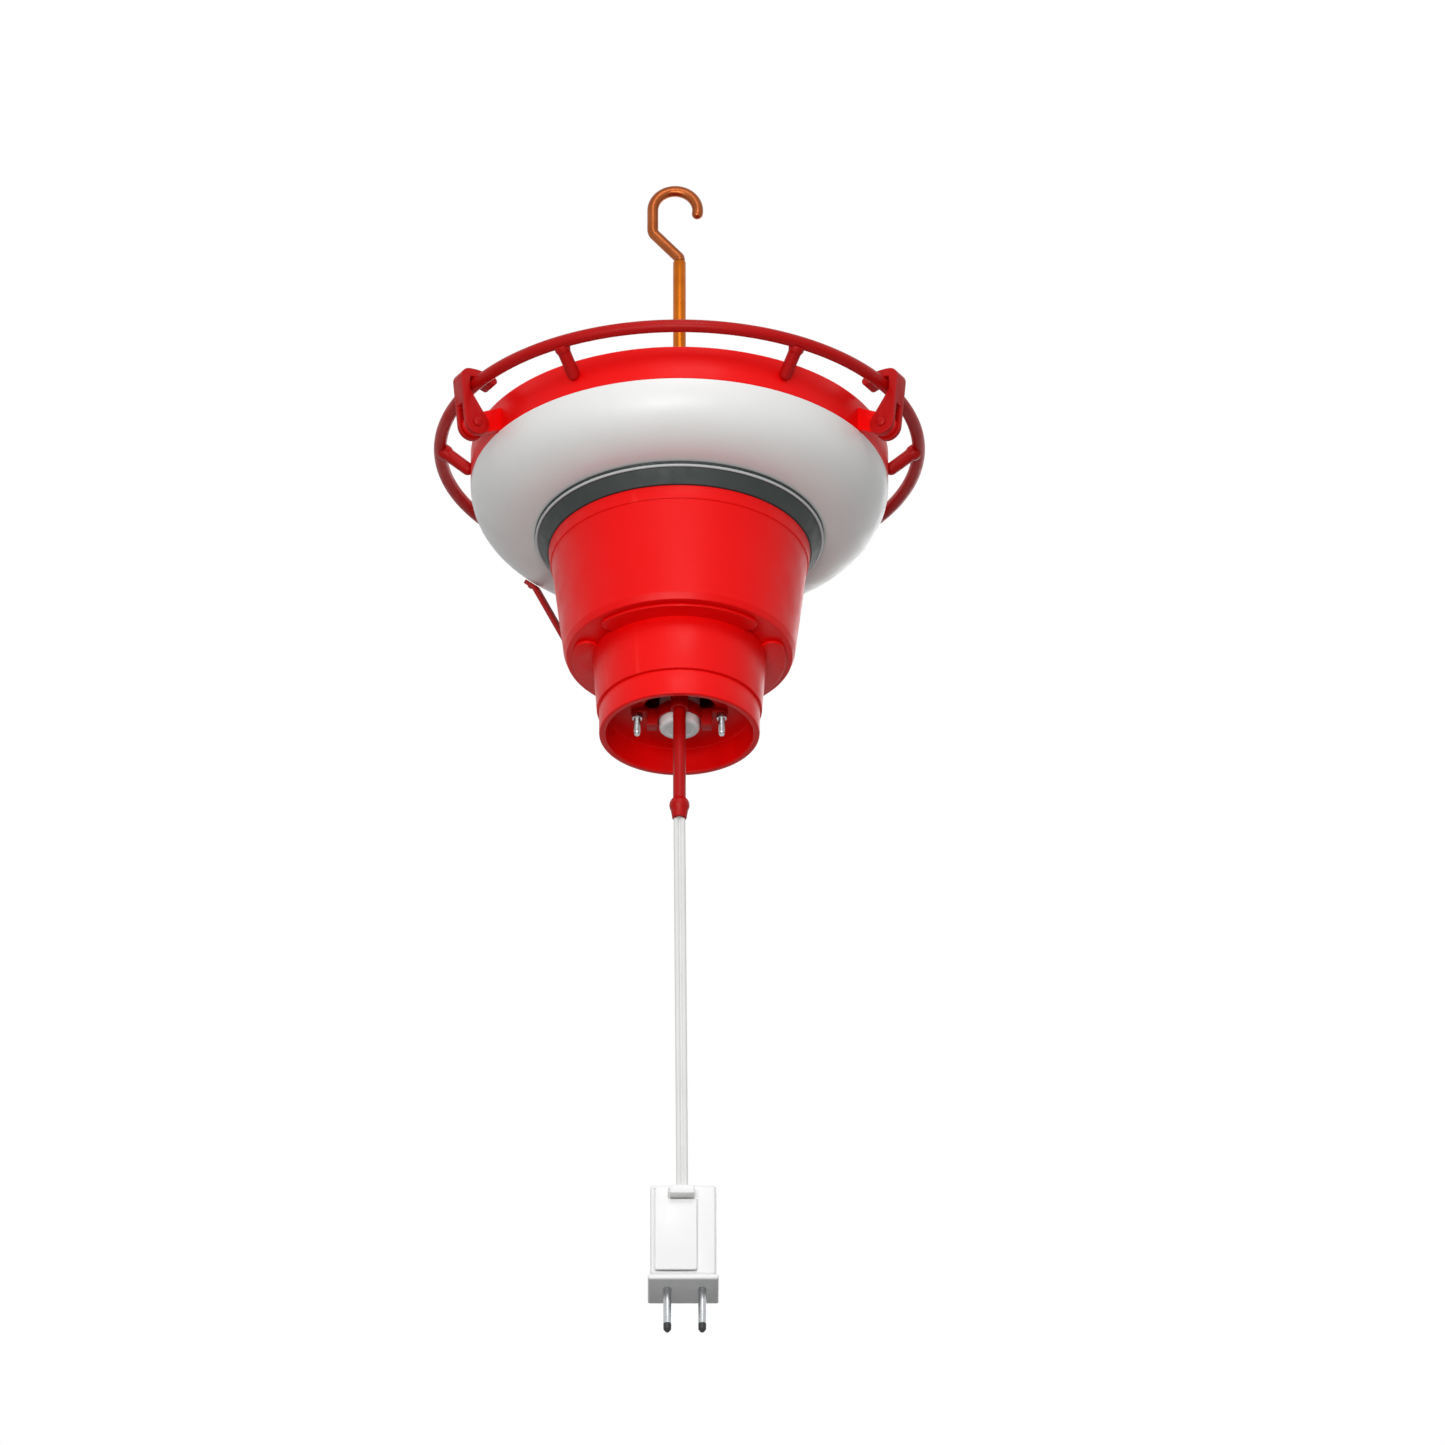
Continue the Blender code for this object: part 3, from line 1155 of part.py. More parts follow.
def make_lead(parent):
    points = []
    for step in range(CORD_SPANS + 1):
        share = step / CORD_SPANS
        points.append((CORD_DRIFT * share, -CONDUIT_OUT, CORD_TOP_Z - CORD_LENGTH * share))
    part("power_cord", tube("power_cord", points, CORD_DIAMETER, 2), "white_flex", parent=parent)
    front = GRIP_CORD_OUT - CONDUIT_OUT
    back = front + CASE_DEPTH
    middle = CORD_DRIFT + CASE_OFFSET
    case_bottom = CASE_TOP_Z - CASE_HEIGHT
    grip = box(
        "cord_grip",
        (CORD_DRIFT - GRIP_WIDTH / 2, front - GRIP_PROUD, GRIP_TOP_Z - GRIP_HEIGHT),
        (CORD_DRIFT + GRIP_WIDTH / 2, front - FIT_GAP, GRIP_TOP_Z),
        GRIP_EDGE,
    )
    part("cord_grip", grip, "white_plastic", parent=parent)
    half = CASE_WIDTH / 2
    case_low = (middle - half, front, case_bottom)
    case = box("adapter_case", case_low, (middle + half, back, CASE_TOP_Z), CASE_EDGE)
    part("adapter_case", case, "white_plastic", parent=parent)
    panel = box(
        "adapter_front_panel",
        (middle - PANEL_LEFT, front - FIT_GAP - PANEL_THICKNESS, case_bottom + PANEL_RISE),
        (middle + PANEL_RIGHT, front - FIT_GAP, CASE_TOP_Z - PANEL_DROP),
        PANEL_EDGE,
    )
    panel = part("adapter_front_panel", panel, "white_plastic", parent=parent)
    left = CORD_DRIFT - GRIP_WIDTH / 2 - PANEL_NOTCH
    room_low = (left, front - CASE_DEPTH, GRIP_TOP_Z - GRIP_HEIGHT - PANEL_NOTCH)
    room = box("grip_room", room_low, (middle + CASE_WIDTH, back, CASE_TOP_Z + CASE_RISE))
    combine(panel, cutter("grip_room", room), "DIFFERENCE")
    overhang = (BASE_DEPTH - CASE_DEPTH) / 2
    half = BASE_WIDTH / 2
    base = box(
        "adapter_base",
        (middle - half, front - overhang, BASE_BOTTOM_Z),
        (middle + half, back + overhang, BASE_TOP_Z),
        BASE_EDGE,
    )
    part("adapter_base", base, "white_plastic", parent=parent)
    top = BASE_BOTTOM_Z - FIT_GAP
    radius = PLUG_PIN_DIAMETER / 2
    end = top - PLUG_PIN_LENGTH
    nose = arc((0, end + radius), radius, 0, -math.pi / 2, 4)[:-1]
    pin = turned("plug_pin", [(0, top), (radius, top), *nose, (0, end)], SMALL_SIDES)
    depth = front + PLUG_PIN_DEPTH
    for index, side in enumerate((-1, 1)):
        place = (middle + PLUG_PIN_OFFSET + side * PLUG_PIN_SPACING / 2, depth, 0)
        part(f"plug_pin_{index + 1}", pin, "steel", place, parent=parent)


def main():
    hanger = empty("hanger")
    feeder = empty("feeder", parent=hanger)
    drill_radius = SCREW_DIAMETER / 2 + FIT_GAP
    drill = cylinder("drill", drill_radius, BAND_TOP_Z, BAND_BOTTOM_Z, SMALL_SIDES)
    place = (RIM_SCREW_RADIUS, 0, 0)
    holes = ring_of("rim_screw_holes", drill, place, SPIDER_ARM_COUNT, SPIDER_FIRST_ANGLE)
    screw_holes = cutter("rim_screw_holes", holes)
    make_hook(hanger)
    make_rod(hanger)
    make_spider(feeder, screw_holes)
    make_ring(feeder)
    make_band(feeder, screw_holes)
    make_latches(feeder)
    make_lid(feeder)
    make_bowl(feeder, screw_holes)
    make_gasket(feeder)
    make_body(feeder)
    make_stay(feeder)
    make_neck(feeder)
    reach = CONDUIT_OUT / 2
    port = cylinder("lead_port", CONDUIT_BORE / 2, reach / 2, -reach / 2, SMALL_SIDES)
    port = cutter("lead_port", port, (0, -CONDUIT_OUT + reach / 2, LEAD_PORT_Z), (math.pi / 2, 0, 0))
    make_bracket(feeder, *make_cap(feeder), port)
    make_pod(feeder, port)
    make_agitator(feeder)
    make_conduit(feeder)
    make_lead(feeder)


main()
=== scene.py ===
import math

import bmesh
import bpy
from mathutils import Matrix, Vector


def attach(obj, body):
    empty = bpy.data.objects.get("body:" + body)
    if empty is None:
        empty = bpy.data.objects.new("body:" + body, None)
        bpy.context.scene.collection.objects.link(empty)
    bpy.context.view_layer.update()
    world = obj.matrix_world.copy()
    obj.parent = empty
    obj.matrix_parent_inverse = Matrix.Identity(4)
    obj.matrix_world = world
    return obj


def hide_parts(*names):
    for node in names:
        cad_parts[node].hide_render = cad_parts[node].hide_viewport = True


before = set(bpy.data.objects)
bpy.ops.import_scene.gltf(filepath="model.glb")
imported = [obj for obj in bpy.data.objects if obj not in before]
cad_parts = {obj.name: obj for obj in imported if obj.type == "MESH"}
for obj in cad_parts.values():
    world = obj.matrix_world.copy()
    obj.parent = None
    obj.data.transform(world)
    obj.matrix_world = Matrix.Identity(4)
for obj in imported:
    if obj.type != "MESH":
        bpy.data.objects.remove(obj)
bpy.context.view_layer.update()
scene = bpy.context.scene
mm = 0.001


# Colours and shader nodes
def toLinear(hexCode):
    channels = [int(hexCode[i : i + 2], 16) / 255 for i in (0, 2, 4)]
    return [c / 12.92 if c <= 0.04045 else ((c + 0.055) / 1.055) ** 2.4 for c in channels] + [1.0]


def addNode(tree, kind, inputs=None, **settings):
    node = tree.nodes.new(kind)
    for name, value in settings.items():
        setattr(node, name, value)
    for key, value in (inputs or {}).items():
        if isinstance(value, bpy.types.NodeSocket):
            tree.links.new(value, node.inputs[key])
        else:
            node.inputs[key].default_value = value
    return node


def newMaterial(name):
    made = bpy.data.materials.new(name)
    made.use_nodes = True
    tree = made.node_tree
    place = addNode(tree, "ShaderNodeTexCoord").outputs["Object"]
    return made, tree, tree.nodes["Principled BSDF"], place


def perMetre(size):
    return 1 / (size * mm)  # a pattern's scale from its real size in mm


def seenRays(tree):
    # Light paths, with 1 for the rays that the eye follows: straight, mirrored or through glass
    path = addNode(tree, "ShaderNodeLightPath")
    seen = addNode(tree, "ShaderNodeMath", {0: path.outputs["Is Camera Ray"], 1: path.outputs["Is Glossy Ray"]},
                   operation="MAXIMUM")
    seen = addNode(tree, "ShaderNodeMath", {0: seen.outputs[0], 1: path.outputs["Is Transmission Ray"]},
                   operation="MAXIMUM")
    return path, seen.outputs[0]


# Camera: nearly flat view from below, as the photo has it
look = {"tilt": 121.0, "aim": (0.0234, 0.0, -0.3334), "away": 1.2, "wide": 0.7853}
camera = bpy.data.objects.new("camera", bpy.data.cameras.new("camera"))
camera.data.type = "ORTHO"
camera.data.ortho_scale = look["wide"]
camera.rotation_euler = (math.radians(look["tilt"]), 0, 0)
back = Matrix.Rotation(math.radians(look["tilt"]), 3, "X") @ Vector((0, 0, look["away"]))
camera.location = Vector(look["aim"]) + back
scene.collection.objects.link(camera)
scene.camera = camera
scene.view_settings.view_transform = "Standard"

# World: white to the eye, softer grey on the object
world = bpy.data.worlds.new("studio")
world.use_nodes = True
tree = world.node_tree
path, seen = seenRays(tree)
sky = addNode(tree, "ShaderNodeMix", {"Factor": seen, 6: toLinear("BEBFC0"), 7: toLinear("FFFFFF")},
              data_type="RGBA")
tree.links.new(sky.outputs[2], tree.nodes["Background"].inputs["Color"])
scene.world = world

# Floor: pale paper sheet well under the object, as it hangs; far out it fades into the white room
ground = {"half": 6.0, "level": -1.6, "fibre": 60, "fadeFrom": 2.6, "fadeTo": 5.6, "glow": 0.4, "dull": 0.9}
floorMaterial, tree, shader, place = newMaterial("paper_floor")
fibre = addNode(tree, "ShaderNodeTexNoise", {"Vector": place, "Scale": perMetre(ground["fibre"])})
sheet = addNode(tree, "ShaderNodeMix",
                {"Factor": fibre.outputs[0], 6: toLinear("ECECEA"), 7: toLinear("F4F4F2")}, data_type="RGBA")
away = addNode(tree, "ShaderNodeVectorMath", {0: place}, operation="LENGTH")
fade = addNode(tree, "ShaderNodeMapRange",
               {0: away.outputs["Value"], 1: ground["fadeFrom"], 2: ground["fadeTo"]})
lit = addNode(tree, "ShaderNodeMix", {"Factor": fade.outputs[0], 6: sheet.outputs[2], 7: toLinear("000000")},
              data_type="RGBA")
path, seen = seenRays(tree)
bounce = addNode(tree, "ShaderNodeMix",  # darker bounce, so undersides keep their shade
                 {"Factor": path.outputs["Is Diffuse Ray"], 6: lit.outputs[2], 7: toLinear("787878")},
                 data_type="RGBA")
tree.links.new(bounce.outputs[2], shader.inputs["Base Color"])
shader.inputs["Roughness"].default_value = ground["dull"]
glow = addNode(tree, "ShaderNodeMix", {"Factor": fade.outputs[0], 6: sheet.outputs[2], 7: toLinear("FFFFFF")},
               data_type="RGBA")
tree.links.new(glow.outputs[2], shader.inputs["Emission Color"])
lift = addNode(tree, "ShaderNodeMapRange", {0: fade.outputs[0], 3: ground["glow"], 4: 1.0})
lift = addNode(tree, "ShaderNodeMath", {0: seen, 1: lift.outputs[0]}, operation="MULTIPLY")
tree.links.new(lift.outputs[0], shader.inputs["Emission Strength"])  # pale to the eye, with its shadow kept
floorMesh = bpy.data.meshes.new("floor")
corners = ((-1, -1), (1, -1), (1, 1), (-1, 1))
floorMesh.from_pydata([(x * ground["half"], y * ground["half"], ground["level"]) for x, y in corners], [],
                      [(0, 1, 2, 3)])
floorMesh.materials.append(floorMaterial)
floor = bpy.data.objects.new("floor", floorMesh)
scene.collection.objects.link(floor)

# Soft lamps: one over the camera, a low one that reaches into the outlet, and one from behind
lampAim = Vector((0, 0, -0.25))
lamps = {
    "key": {"at": (0.1, -1.4, 0.5), "wide": 0.7, "high": 0.5, "watts": 5.2},
    "low": {"at": (-0.2, -1.4, -0.78), "wide": 1.0, "high": 0.4, "watts": 12.0},
    "rim": {"at": (0.4, 1.5, 0.1), "wide": 1.0, "high": 0.9, "watts": 6.0},
}
for name, lamp in lamps.items():
    light = bpy.data.lights.new(name, "AREA")
    light.energy = lamp["watts"]
    light.shape = "RECTANGLE"
    light.size = lamp["wide"]
    light.size_y = lamp["high"]
    holder = bpy.data.objects.new(name, light)
    holder.location = lamp["at"]
    holder.rotation_euler = (lampAim - holder.location).to_track_quat("-Z", "Y").to_euler()
    scene.collection.objects.link(holder)
print("camera and lamps")

# Materials: pattern sizes in mm; grain, draw marks and skin are drawn coarser than life, so that they show
noiseLow, noiseHigh = 0.3, 0.7  # most of a noise pattern's values lie between these
plastic = {"cloud": 38, "rub": 12, "edgeFrom": 0.53, "edgeTo": 0.62, "edgeShare": 0.35, "glossier": 0.06,
           "duller": 0.08, "bump": 0.06, "deep": 0.1, "ior": 1.49}
metal = {"streak": 0.9, "patch": 9, "glossier": 0.08, "duller": 0.1, "bump": 0.08, "deep": 0.05}
rubber = {"bloom": 7, "skin": 0.8, "spread": 0.1, "bump": 0.15, "deep": 0.1, "ior": 1.52}


def mouldedPlastic(name, light, dark, roughness, grain, edgeColour, gloss=0.5):
    # Moulded plastic: soft sheen, a faint cloud in the colour, a fine eggshell grain and paler worn edges
    made, tree, shader, place = newMaterial(name)
    cloud = addNode(tree, "ShaderNodeTexNoise",
                    {"Vector": place, "Scale": perMetre(plastic["cloud"]), "Detail": 3})
    tint = addNode(tree, "ShaderNodeMix", {"Factor": cloud.outputs[0], 6: toLinear(dark), 7: toLinear(light)},
                   data_type="RGBA")
    shape = addNode(tree, "ShaderNodeNewGeometry")
    edge = addNode(tree, "ShaderNodeMapRange", {
        0: shape.outputs["Pointiness"], 1: plastic["edgeFrom"], 2: plastic["edgeTo"],
        3: 0.0, 4: plastic["edgeShare"],
    })
    worn = addNode(tree, "ShaderNodeMix",
                   {"Factor": edge.outputs[0], 6: tint.outputs[2], 7: toLinear(edgeColour)}, data_type="RGBA")
    tree.links.new(worn.outputs[2], shader.inputs["Base Color"])
    rub = addNode(tree, "ShaderNodeTexNoise", {"Vector": place, "Scale": perMetre(plastic["rub"]), "Detail": 5})
    sheen = addNode(tree, "ShaderNodeMapRange", {
        0: rub.outputs[0], 1: noiseLow, 2: noiseHigh,
        3: roughness - plastic["glossier"], 4: roughness + plastic["duller"],
    })
    tree.links.new(sheen.outputs[0], shader.inputs["Roughness"])
    fine = addNode(tree, "ShaderNodeTexNoise", {"Vector": place, "Scale": perMetre(grain), "Detail": 2})
    bump = addNode(tree, "ShaderNodeBump",
                   {"Height": fine.outputs[0], "Strength": plastic["bump"], "Distance": plastic["deep"] * mm})
    tree.links.new(bump.outputs[0], shader.inputs["Normal"])
    shader.inputs["IOR"].default_value = plastic["ior"]
    shader.inputs["Specular IOR Level"].default_value = gloss
    return made


def drawnMetal(name, light, dark, roughness, stretch):
    # Drawn or turned metal: fine streaks along the draw, with duller and darker patches
    made, tree, shader, place = newMaterial(name)
    along = addNode(tree, "ShaderNodeMapping", {"Vector": place, "Scale": (1, 1, stretch)})
    streak = addNode(tree, "ShaderNodeTexNoise",
                     {"Vector": along.outputs[0], "Scale": perMetre(metal["streak"]), "Detail": 3})
    patch = addNode(tree, "ShaderNodeTexNoise",
                    {"Vector": place, "Scale": perMetre(metal["patch"]), "Detail": 4})
    tint = addNode(tree, "ShaderNodeMix", {"Factor": patch.outputs[0], 6: toLinear(dark), 7: toLinear(light)},
                   data_type="RGBA")
    tree.links.new(tint.outputs[2], shader.inputs["Base Color"])
    sheen = addNode(tree, "ShaderNodeMapRange", {
        0: streak.outputs[0], 1: noiseLow, 2: noiseHigh,
        3: roughness - metal["glossier"], 4: roughness + metal["duller"],
    })
    tree.links.new(sheen.outputs[0], shader.inputs["Roughness"])
    bump = addNode(tree, "ShaderNodeBump",
                   {"Height": streak.outputs[0], "Strength": metal["bump"], "Distance": metal["deep"] * mm})
    tree.links.new(bump.outputs[0], shader.inputs["Normal"])
    shader.inputs["Metallic"].default_value = 1.0
    return made


def softRubber(name, light, dark, roughness):
    # Soft rubber: dull, with a powdery bloom and a faint skin
    made, tree, shader, place = newMaterial(name)
    bloom = addNode(tree, "ShaderNodeTexNoise",
                    {"Vector": place, "Scale": perMetre(rubber["bloom"]), "Detail": 6})
    tint = addNode(tree, "ShaderNodeMix", {"Factor": bloom.outputs[0], 6: toLinear(dark), 7: toLinear(light)},
                   data_type="RGBA")
    tree.links.new(tint.outputs[2], shader.inputs["Base Color"])
    sheen = addNode(tree, "ShaderNodeMapRange", {
        0: bloom.outputs[0], 1: noiseLow, 2: noiseHigh,
        3: roughness - rubber["spread"], 4: roughness + rubber["spread"],
    })
    tree.links.new(sheen.outputs[0], shader.inputs["Roughness"])
    skin = addNode(tree, "ShaderNodeTexNoise",
                   {"Vector": place, "Scale": perMetre(rubber["skin"]), "Detail": 3})
    bump = addNode(tree, "ShaderNodeBump",
                   {"Height": skin.outputs[0], "Strength": rubber["bump"], "Distance": rubber["deep"] * mm})
    tree.links.new(bump.outputs[0], shader.inputs["Normal"])
    shader.inputs["IOR"].default_value = rubber["ior"]
    return made


# Shells moulded in polypropylene: even, waxy colour with a soft low sheen
redPolypropylene = mouldedPlastic("red_polypropylene", "F60404", "EC0202", 0.40, 0.9, "FF3C30", 0.2)
whitePolypropylene = mouldedPlastic("white_polypropylene", "F2F2F0", "E9E9E7", 0.40, 0.9, "FAFAFA")
# Fittings moulded in nylon: the red is deeper than the shells' red as painted shade on the thin fittings, and
# duller; the natural one is left in its own warm white
redNylonPaintedShade = mouldedPlastic("red_nylon_painted_shade", "BE0303", "A80202", 0.44, 0.8, "CE221A", 0.2)
naturalNylon = mouldedPlastic("natural_nylon", "E8E4D6", "DDD8C8", 0.48, 0.8, "F2EFE4")
# Moulded ABS: cleaner white and glossier; extruded soft PVC: a greyish white, partly painted shade, and dull;
# moulded acetal: cool pale grey that is a painted highlight, and smooth
whiteAbs = mouldedPlastic("white_abs", "F4F4F3", "ECECEB", 0.35, 0.7, "FBFBFB")
flexPvc = mouldedPlastic("flex_pvc", "E6E6E4", "D9D9D7", 0.50, 0.6, "F0F0EE")
paleAcetalPaintedHighlight = mouldedPlastic("pale_acetal_painted_highlight", "CDD2D2", "BFC5C5", 0.42, 0.6, "DDE0E0")
# Moulded neoprene: greenish black that barely shines; the pins' black tips: painted shade on their down-facing
# ends, with some sheen
blackNeoprene = softRubber("black_neoprene", "2E3634", "1D2322", 0.62)
paintedShadeTip = softRubber("painted_shade_pin_tip", "1E1E1E", "121212", 0.50)
# Drawn copper-plated wire and drawn brass: brown or orange gold, streaked along their length
copperWire = drawnMetal("copper_plated_wire", "A85E34", "864220", 0.34, 0.12)
brassRod = drawnMetal("brass_rod", "C66C1E", "A05010", 0.30, 0.08)
# Zinc-plated steel: pale grey, a soft mirror; rolled sheet steel: darker and duller
zincSteel = drawnMetal("zinc_plated_steel", "C6C8CA", "A9ACAF", 0.30, 0.3)
rolledSteel = drawnMetal("rolled_steel", "9A9DA0", "84878A", 0.40, 0.2)
print("materials")


# Mesh code, in millimetres: a corner's third number is its fillet, and a count is how many spans draw a curve
def soften(points, count=4, most=0.49):
    # An outline of (x, y) or (x, y, fillet) corners, with fillets that take at most that share of a side
    made = []
    for index, point in enumerate(points):
        corner = Vector(point[:2])
        if len(point) < 3:
            made.append(tuple(corner))
            continue
        before = Vector(points[index - 1][:2]) - corner
        after = Vector(points[(index + 1) % len(points)][:2]) - corner
        half = before.angle(after) / 2
        reach = min(point[2] / math.tan(half), most * before.length, most * after.length)
        radius = reach * math.tan(half)
        centre = corner + (before.normalized() + after.normalized()).normalized() * (radius / math.sin(half))
        first = corner + before.normalized() * reach - centre
        last = corner + after.normalized() * reach - centre
        spread = math.atan2(first.x * last.y - first.y * last.x, first.dot(last))
        for step in range(count + 1):
            turn = Matrix.Rotation(spread * step / count, 2)
            made.append(tuple(centre + turn @ first))
    return made


def arc(centre, radius, start, end, count):
    made = []
    for step in range(count + 1):
        angle = start + (end - start) * step / count
        made.append((centre[0] + radius * math.cos(angle), centre[1] + radius * math.sin(angle)))
    return made


def circle(radius, count, centre=(0, 0)):
    return arc(centre, radius, 0, math.tau, count)[:-1]


def hexagon(flats):
    return circle(flats / 2 / math.cos(math.pi / 6), 6)


def ridges(radius, deep, pitch, top, low):
    # Profile points of a screw thread, drawn as rings
    made = []
    level = top
    while level > low:
        made += [(radius, level), (radius - deep, level - pitch / 2)]
        level -= pitch
    return made


def lathe(profile, steps=144):
    # A closed profile of (radius, height) turned about Z; points on the axis become poles
    edit = bmesh.new()
    poles = {}
    columns = []
    for step in range(steps):
        angle = math.tau * step / steps
        column = []
        for index, (radius, height) in enumerate(profile):
            if radius < 1e-6:
                if index not in poles:
                    poles[index] = edit.verts.new((0, 0, height))
                column.append(poles[index])
            else:
                column.append(edit.verts.new((radius * math.cos(angle), radius * math.sin(angle), height)))
        columns.append(column)
    spans = len(profile) - (1 if poles else 0)
    for step in range(steps):
        here = columns[step]
        there = columns[(step + 1) % steps]
        for index in range(spans):
            after = (index + 1) % len(profile)
            corners = list(dict.fromkeys([here[index], there[index], there[after], here[after]]))
            if len(corners) > 2:
                edit.faces.new(corners)
    return edit


def sweep(route, section, side, scales=None):
    # A section of (across, out) points carried along a route; side stays the section's first axis
    edit = bmesh.new()
    rings = []
    for index, place in enumerate(route):
        ahead = (Vector(route[min(index + 1, len(route) - 1)]) - Vector(route[max(index - 1, 0)])).normalized()
        out = ahead.cross(side).normalized()
        grow = scales[index] if scales else 1
        rings.append([edit.verts.new(Vector(place) + (side * a + out * b) * grow) for a, b in section])
    count = len(section)
    for here, there in zip(rings, rings[1:]):
        for index in range(count):
            after = (index + 1) % count
            edit.faces.new([here[index], here[after], there[after], there[index]])
    edit.faces.new(rings[0][::-1])
    edit.faces.new(rings[-1])
    return edit


def roundEdges(edit, radius, segments=3, over=35):
    # Rounds the edges whose faces fold by more than so many degrees
    edit.normal_update()
    sharp = [e for e in edit.edges if e.is_manifold and e.calc_face_angle(0) > math.radians(over)]
    bmesh.ops.bevel(edit, geom=sharp, offset=radius, offset_type="OFFSET", segments=segments, profile=0.5,
                    affect="EDGES", clamp_overlap=True)


def slab(outline, low, high, radius=0):
    # A closed outline given thickness along Z, with its rims rounded
    edit = bmesh.new()
    face = edit.faces.new([edit.verts.new((x, y, low)) for x, y in outline])
    raised = bmesh.ops.extrude_face_region(edit, geom=[face])["geom"]
    for vertex in raised:
        if isinstance(vertex, bmesh.types.BMVert):
            vertex.co.z = high
    bmesh.ops.recalc_face_normals(edit, faces=edit.faces)
    if radius:
        roundEdges(edit, radius)
    return edit


def block(low, high, radius=0):
    edit = bmesh.new()
    bmesh.ops.create_cube(edit, size=1)
    for vertex in edit.verts:
        for axis in range(3):
            vertex.co[axis] = low[axis] + (vertex.co[axis] + 0.5) * (high[axis] - low[axis])
    if radius:
        roundEdges(edit, radius, segments=4)
    return edit


def blockOf(part):
    return block((part["middle"] - part["half"], part["front"], part["bottom"]),
                 (part["middle"] + part["half"], part["back"], part["top"]), part["edge"])


def merge(edit, other, matrix=None):
    shape = bpy.data.meshes.new("merge")
    other.to_mesh(shape)
    if matrix:
        shape.transform(matrix)
    edit.from_mesh(shape)
    bpy.data.meshes.remove(shape)


def carve(edit, *tools, weld=0.001):
    # The mesh with each tool's volume cut away, and points welded that fall together
    holders = []
    for index, source in enumerate((edit, *tools)):
        bmesh.ops.recalc_face_normals(source, faces=source.faces)
        shape = bpy.data.meshes.new("carve")
        source.to_mesh(shape)
        holders.append(bpy.data.objects.new(f"carve{index}", shape))
        scene.collection.objects.link(holders[-1])
    for tool in holders[1:]:
        cut = holders[0].modifiers.new("cut", "BOOLEAN")
        cut.operation = "DIFFERENCE"
        cut.object = tool
        cut.solver = "EXACT"
    bpy.context.view_layer.update()
    solved = holders[0].evaluated_get(bpy.context.evaluated_depsgraph_get())
    shape = bpy.data.meshes.new_from_object(solved)
    made = bmesh.new()
    made.from_mesh(shape)
    bmesh.ops.remove_doubles(made, verts=made.verts, dist=weld)
    for holder in holders:
        bpy.data.objects.remove(holder)
    return made


def finishPiece(name, edit, material, nodes, body, matrix=None, over=38):
    bmesh.ops.recalc_face_normals(edit, faces=edit.faces)
    shape = bpy.data.meshes.new(name)
    edit.to_mesh(shape)
    shape.transform(Matrix.Scale(mm, 4) @ (matrix or Matrix.Identity(4)))
    shape.shade_smooth()
    shape.set_sharp_from_angle(angle=math.radians(over))
    for item in material if isinstance(material, list) else [material]:
        shape.materials.append(item)
    piece = bpy.data.objects.new(name, shape)
    scene.collection.objects.link(piece)
    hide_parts(*nodes)
    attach(piece, body)
    return piece


def turnedPiece(name, corners, material, node, body, steps=144, matrix=None):
    return finishPiece(name, lathe(soften(corners), steps), material, [node], body, matrix)


def spin(angle, place=(0, 0, 0)):
    return Matrix.Rotation(math.radians(angle), 4, "Z") @ Matrix.Translation(place)


upright = Matrix.Rotation(math.pi / 2, 4, "X")  # x outwards, y upwards, thickness sideways
print("mesh code")

# Hook: one bent wire with a rounded tip and a thinner spigot that sits in the rod
hook = {"wire": 6.0, "centre": (-2.3, -8.91), "crown": 12.2, "tip": -10, "runEnd": -23.01, "bend": 5.0,
        "shank": -39.01, "end": -41.3, "spigotTop": -41.31, "spigotEnd": -50.6, "spigotShare": 2 / 3,
        "noseSteps": 6, "noseShare": 0.05}
bend = soften([
    (hook["centre"][0] - hook["crown"], hook["centre"][1]),
    (hook["centre"][0] - hook["crown"], hook["runEnd"], hook["bend"]),
    (0, hook["shank"], hook["bend"]),
    (0, hook["end"]),
], 10)
tipAngle = math.radians(hook["tip"])
crown = arc(hook["centre"], hook["crown"], tipAngle, math.pi, 40)
wireRadius = hook["wire"] / 2
noseDirection = Vector((math.sin(tipAngle), -math.cos(tipAngle)))
nose = []
scales = []
for step in range(hook["noseSteps"]):
    lift = math.pi / 2 * (1 - step / hook["noseSteps"])
    nose.append(tuple(Vector(crown[0]) + noseDirection * (wireRadius * math.sin(lift))))
    scales.append(max(math.cos(lift), hook["noseShare"]))
spigot = [(0, hook["spigotTop"]), (0, hook["spigotEnd"])]
scales += [1] * (len(crown) - 1 + len(bend)) + [hook["spigotShare"]] * len(spigot)
route = [(x, 0, z) for x, z in nose + crown[:-1] + bend + spigot]
edit = sweep(route, circle(wireRadius, 28), Vector((0, 1, 0)), scales)
finishPiece("hook_wire", edit, copperWire, ["hook"], "hanger")

# Rod: thicker stock with the hook's socket on top and a thread at its foot
rod = {"radius": 3.5, "top": -41.61, "bottom": -190.2, "socket": 2.3, "socketEnd": -50.91, "threadTop": -178.0,
       "pitch": 1.25, "deep": 0.35, "plain": 2.0, "nose": 1.2, "noseIn": 0.4, "tipIn": 0.9}
turnedPiece("rod", [
    (0, rod["socketEnd"]), (rod["socket"], rod["socketEnd"]), (rod["socket"], rod["top"]),
    (rod["radius"], rod["top"], 0.6),
    *ridges(rod["radius"], rod["deep"], rod["pitch"], rod["threadTop"], rod["bottom"] + rod["plain"]),
    (rod["radius"] - rod["noseIn"], rod["bottom"] + rod["nose"], 0.3),
    (rod["radius"] - rod["tipIn"], rod["bottom"]), (0, rod["bottom"]),
], brassRod, "hanger_rod", "hanger", 56)

